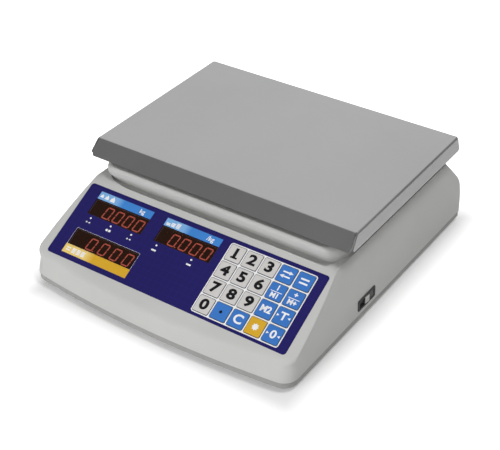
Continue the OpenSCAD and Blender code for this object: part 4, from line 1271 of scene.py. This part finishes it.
def node_group(name, sizes):
    """A geometry node tree with named inputs: its graph and the inputs' values."""
    tree = bpy.data.node_groups.new(name, "GeometryNodeTree")
    for size, kind in sizes.items():
        tree.interface.new_socket(size, in_out="INPUT", socket_type="NodeSocket" + kind)
    tree.interface.new_socket("Geometry", in_out="OUTPUT", socket_type="NodeSocketGeometry")
    g = Graph(tree)
    return g, [g.node("NodeGroupInput", output=size) for size in sizes]


def close_group(g, copies, material):
    """Makes a tree's copies real, gives them a finish and leads them to the output."""
    real = g.node("GeometryNodeRealizeInstances", None, {"Geometry": copies})
    inked = g.node("GeometryNodeSetMaterial", None, {"Geometry": real, "Material": material})
    g.fill(g.tree.nodes.new("NodeGroupOutput").inputs["Geometry"], inked)
    return g.tree


def nodes_mesh(tree, values, seed=None):
    """Runs a node tree with named inputs and returns its plain mesh."""
    holder = linked("nodes", seed or bpy.data.meshes.new("seed"))
    modifier = holder.modifiers.new("nodes", "NODES")
    modifier.node_group = tree
    for item in tree.interface.items_tree:
        if item.in_out == "INPUT" and item.name in values:
            modifier[item.identifier] = values[item.name]
    holder.update_tag()
    return plain_mesh(holder)


class SCALE_OT_pan(Piece):
    """Builds the steel pan and finishes its support"""

    bl_idname = "counter_scale.pan"
    bl_label = "Pan"

    def build(self, finish, form):
        dressed("pan", satin_steel("satin_pan", finish.steel), 0.18, "pan_sheet", 38.0)
        cast = plated("cast_alloy", finish.alloy, 0.5)
        finish_nodes(cast, "pan_support", "load_post", "load_cell", "cell_pillar")
        bolt = plated("zinc_bolt", finish.zinc, 0.35)
        finish_nodes(bolt, "post_bolts", "cell_bolts", "overload_stop", "board_screws", "housing_screws")
        finish_nodes(rubber("pad_rubber", finish.pad), "support_pads")


class SCALE_OT_fittings(Piece):
    """Finishes the feet, the switch, the inlet, the level and the inner parts"""

    bl_idname = "counter_scale.fittings"
    bl_label = "Fittings"

    def build(self, finish, form):
        foot = rubber("foot_rubber", finish.rubber)
        for node in FEET:
            dressed(node, foot, 0.3)
        black = moulded("black_plastic", finish.black, 0.5)
        for node in ("power_switch_frame", "mains_inlet"):
            dressed(node, black, 0.15)
        painted_highlight_half = 3.4 * MM
        # The bar in the housing's grey across the rocker's middle is a painted highlight
        tone = rocker_with_painted_highlight("rocker_grey", finish.wing, finish.housing, middle("power_rocker").y, painted_highlight_half)
        dressed("power_rocker", tone, 0.2)
        finish_nodes(fluid("level_fluid"), "level_vial")
        finish_nodes(plated("turned_brass", finish.brass, 0.3), "foot_inserts")
        finish_nodes(board("circuit_board"), "display_board", "rear_board", "main_board")
        finish_nodes(black, "key_switches")
        finish_nodes(moulded("varnished_core", finish.core, 0.4), "transformer")
        finish_nodes(moulded("battery_case", finish.battery, 0.45), "battery")


class SCALE_OT_stage(Piece):
    """Builds the floor, the lights and the camera"""

    bl_idname = "counter_scale.stage"
    bl_label = "Stage"

    def build(self, finish, form):
        scene = bpy.context.scene
        scene.view_settings.view_transform = "Standard"
        self.floor(form.b)
        self.world(scene)
        front = self.light("front_light", at=(-0.25, -1.53, 0.4), size=0.85, watts=12.0)
        front.visible_glossy = False
        self.light("back_light", at=(-1.0, 1.44, 1.33), size=2.0, watts=8.2)
        self.light("top_light", at=(0.8, 0.03, 1.74), size=0.5, watts=11.0)
        self.camera(scene)

    def floor(self, b):
        """Pale floor that keeps the shadow; to the camera its glow is lowered near the body as a painted
        shadow, and it turns white farther out.
        """
        # least is the glow at the body's footprint, the darkest of the painted shadow; reach is where that
        # painted shadow has faded
        half, reach, least, in_gloss, painted_shadow_shift = 6.0, 50 * MM, 0.2, 0.15, 7 * MM
        bm = bmesh.new()
        bmesh.ops.create_grid(bm, x_segments=4, y_segments=4, size=half)
        floor = linked("floor", mesh_of(bm))
        f = Finish(
            "floor_white",
            Base_Color=(0.86, 0.86, 0.86),
            Roughness=0.9,
            Specular_IOR_Level=0.1,
            Emission_Strength=1.0,
        )
        past = []
        for letter, size, shift in (("X", b.width, painted_shadow_shift), ("Y", b.depth, 0.0)):
            off = f.maths("ABSOLUTE", f.axis(letter) - shift) - (size / 2 - shift)
            past.append(f.maths("MAXIMUM", off, 0.0))
        far = f.maths("SQRT", past[0] * past[0] + past[1] * past[1])
        # Painted shadow: the glow rises from least at the footprint to full a reach away, and the shift
        # makes it weaker on the body's left side
        glow_past_painted_shadow = f.span(far, 0.0, reach) * (1.0 - least) + least
        ray = f.seen("Camera", "Transmission") + f.seen("Glossy") * in_gloss
        f.set("Emission Color", f.mix(ray * glow_past_painted_shadow, (0.0, 0.0, 0.0), (1.0, 1.0, 1.0)))
        floor.data.materials.append(f.material)

    def world(self, scene):
        """Even light all round, white to the camera."""
        ambient = 0.25
        world = bpy.data.worlds.new("studio")
        scene.world = world
        world.use_nodes = True
        g = Graph(world.node_tree)
        sky = g.tree.nodes["Background"]
        g.fill(sky.inputs["Color"], (1.0, 1.0, 1.0))
        g.fill(sky.inputs["Strength"], g.seen("Camera", "Transmission") * (1.0 - ambient) + ambient)

    def light(self, name, at, size, watts):
        """A square soft box that faces the scale."""
        target = Vector((0.0, 0.0, 50 * MM))
        data = bpy.data.lights.new(name, "AREA")
        data.shape = "SQUARE"
        data.size = size
        data.energy = watts
        soft_box = linked(name, data)
        soft_box.location = at
        soft_box.rotation_mode = "QUATERNION"
        soft_box.rotation_quaternion = (target - Vector(at)).to_track_quat("-Z", "Y")
        return soft_box

    def camera(self, scene):
        """Camera at the photograph's viewing angle."""
        azimuth, elevation, roll = (math.radians(a) for a in (35.85, 35.41, -1.55))
        target, distance = Vector((67.7, -93.7, 115.9)) * MM, 1.111
        level = math.cos(elevation)
        forward = Vector((-math.sin(azimuth) * level, math.cos(azimuth) * level, -math.sin(elevation)))
        right = Vector((math.cos(azimuth), math.sin(azimuth), 0.0))
        up = right.cross(forward)
        across = right * math.cos(roll) + up * math.sin(roll)
        upright = up * math.cos(roll) - right * math.sin(roll)
        data = bpy.data.cameras.new("photo_camera")
        data.lens = 84.63
        data.sensor_width = 36.0
        camera = linked("photo_camera", data)
        matrix = Matrix((across, upright, -forward)).transposed().to_4x4()
        matrix.translation = target - forward * distance
        camera.matrix_world = matrix
        scene.camera = camera


class SCALE_PT_panel(bpy.types.Panel):
    """Lists the pieces in the sidebar"""

    bl_idname = "SCALE_PT_panel"
    bl_label = "Counter Scale"
    bl_space_type = "VIEW_3D"
    bl_region_type = "UI"
    bl_category = "Scale"

    def draw(self, context):
        for operator in OPERATORS:
            self.layout.operator(operator.bl_idname)
        for group in GROUPS:
            box = self.layout.box()
            settings = getattr(context.scene, group)
            for name in settings.bl_rna.properties.keys():
                if name not in ("rna_type", "name"):
                    box.prop(settings, name)


GROUPS = {
    "scale_body": BodySizes,
    "scale_panel": PanelSizes,
    "scale_keys": KeySizes,
    "scale_finish": Finishes,
}
OPERATORS = (
    SCALE_OT_housing,
    SCALE_OT_panel,
    SCALE_OT_displays,
    SCALE_OT_keys,
    SCALE_OT_pan,
    SCALE_OT_fittings,
    SCALE_OT_stage,
)


def register():
    for group in GROUPS.values():
        bpy.utils.register_class(group)
    for name, group in GROUPS.items():
        setattr(bpy.types.Scene, name, PointerProperty(type=group))
    for cls in (*OPERATORS, SCALE_PT_panel):
        bpy.utils.register_class(cls)


def unregister():
    for cls in reversed((*OPERATORS, SCALE_PT_panel)):
        bpy.utils.unregister_class(cls)
    for name in GROUPS:
        delattr(bpy.types.Scene, name)
    for group in reversed(list(GROUPS.values())):
        bpy.utils.unregister_class(group)


def main():
    register()
    bpy.ops.counter_scale.housing()
    bpy.ops.counter_scale.panel()
    bpy.ops.counter_scale.displays()
    bpy.ops.counter_scale.keys()
    bpy.ops.counter_scale.pan()
    bpy.ops.counter_scale.fittings()
    bpy.ops.counter_scale.stage()


if __name__ == "__main__":
    main()
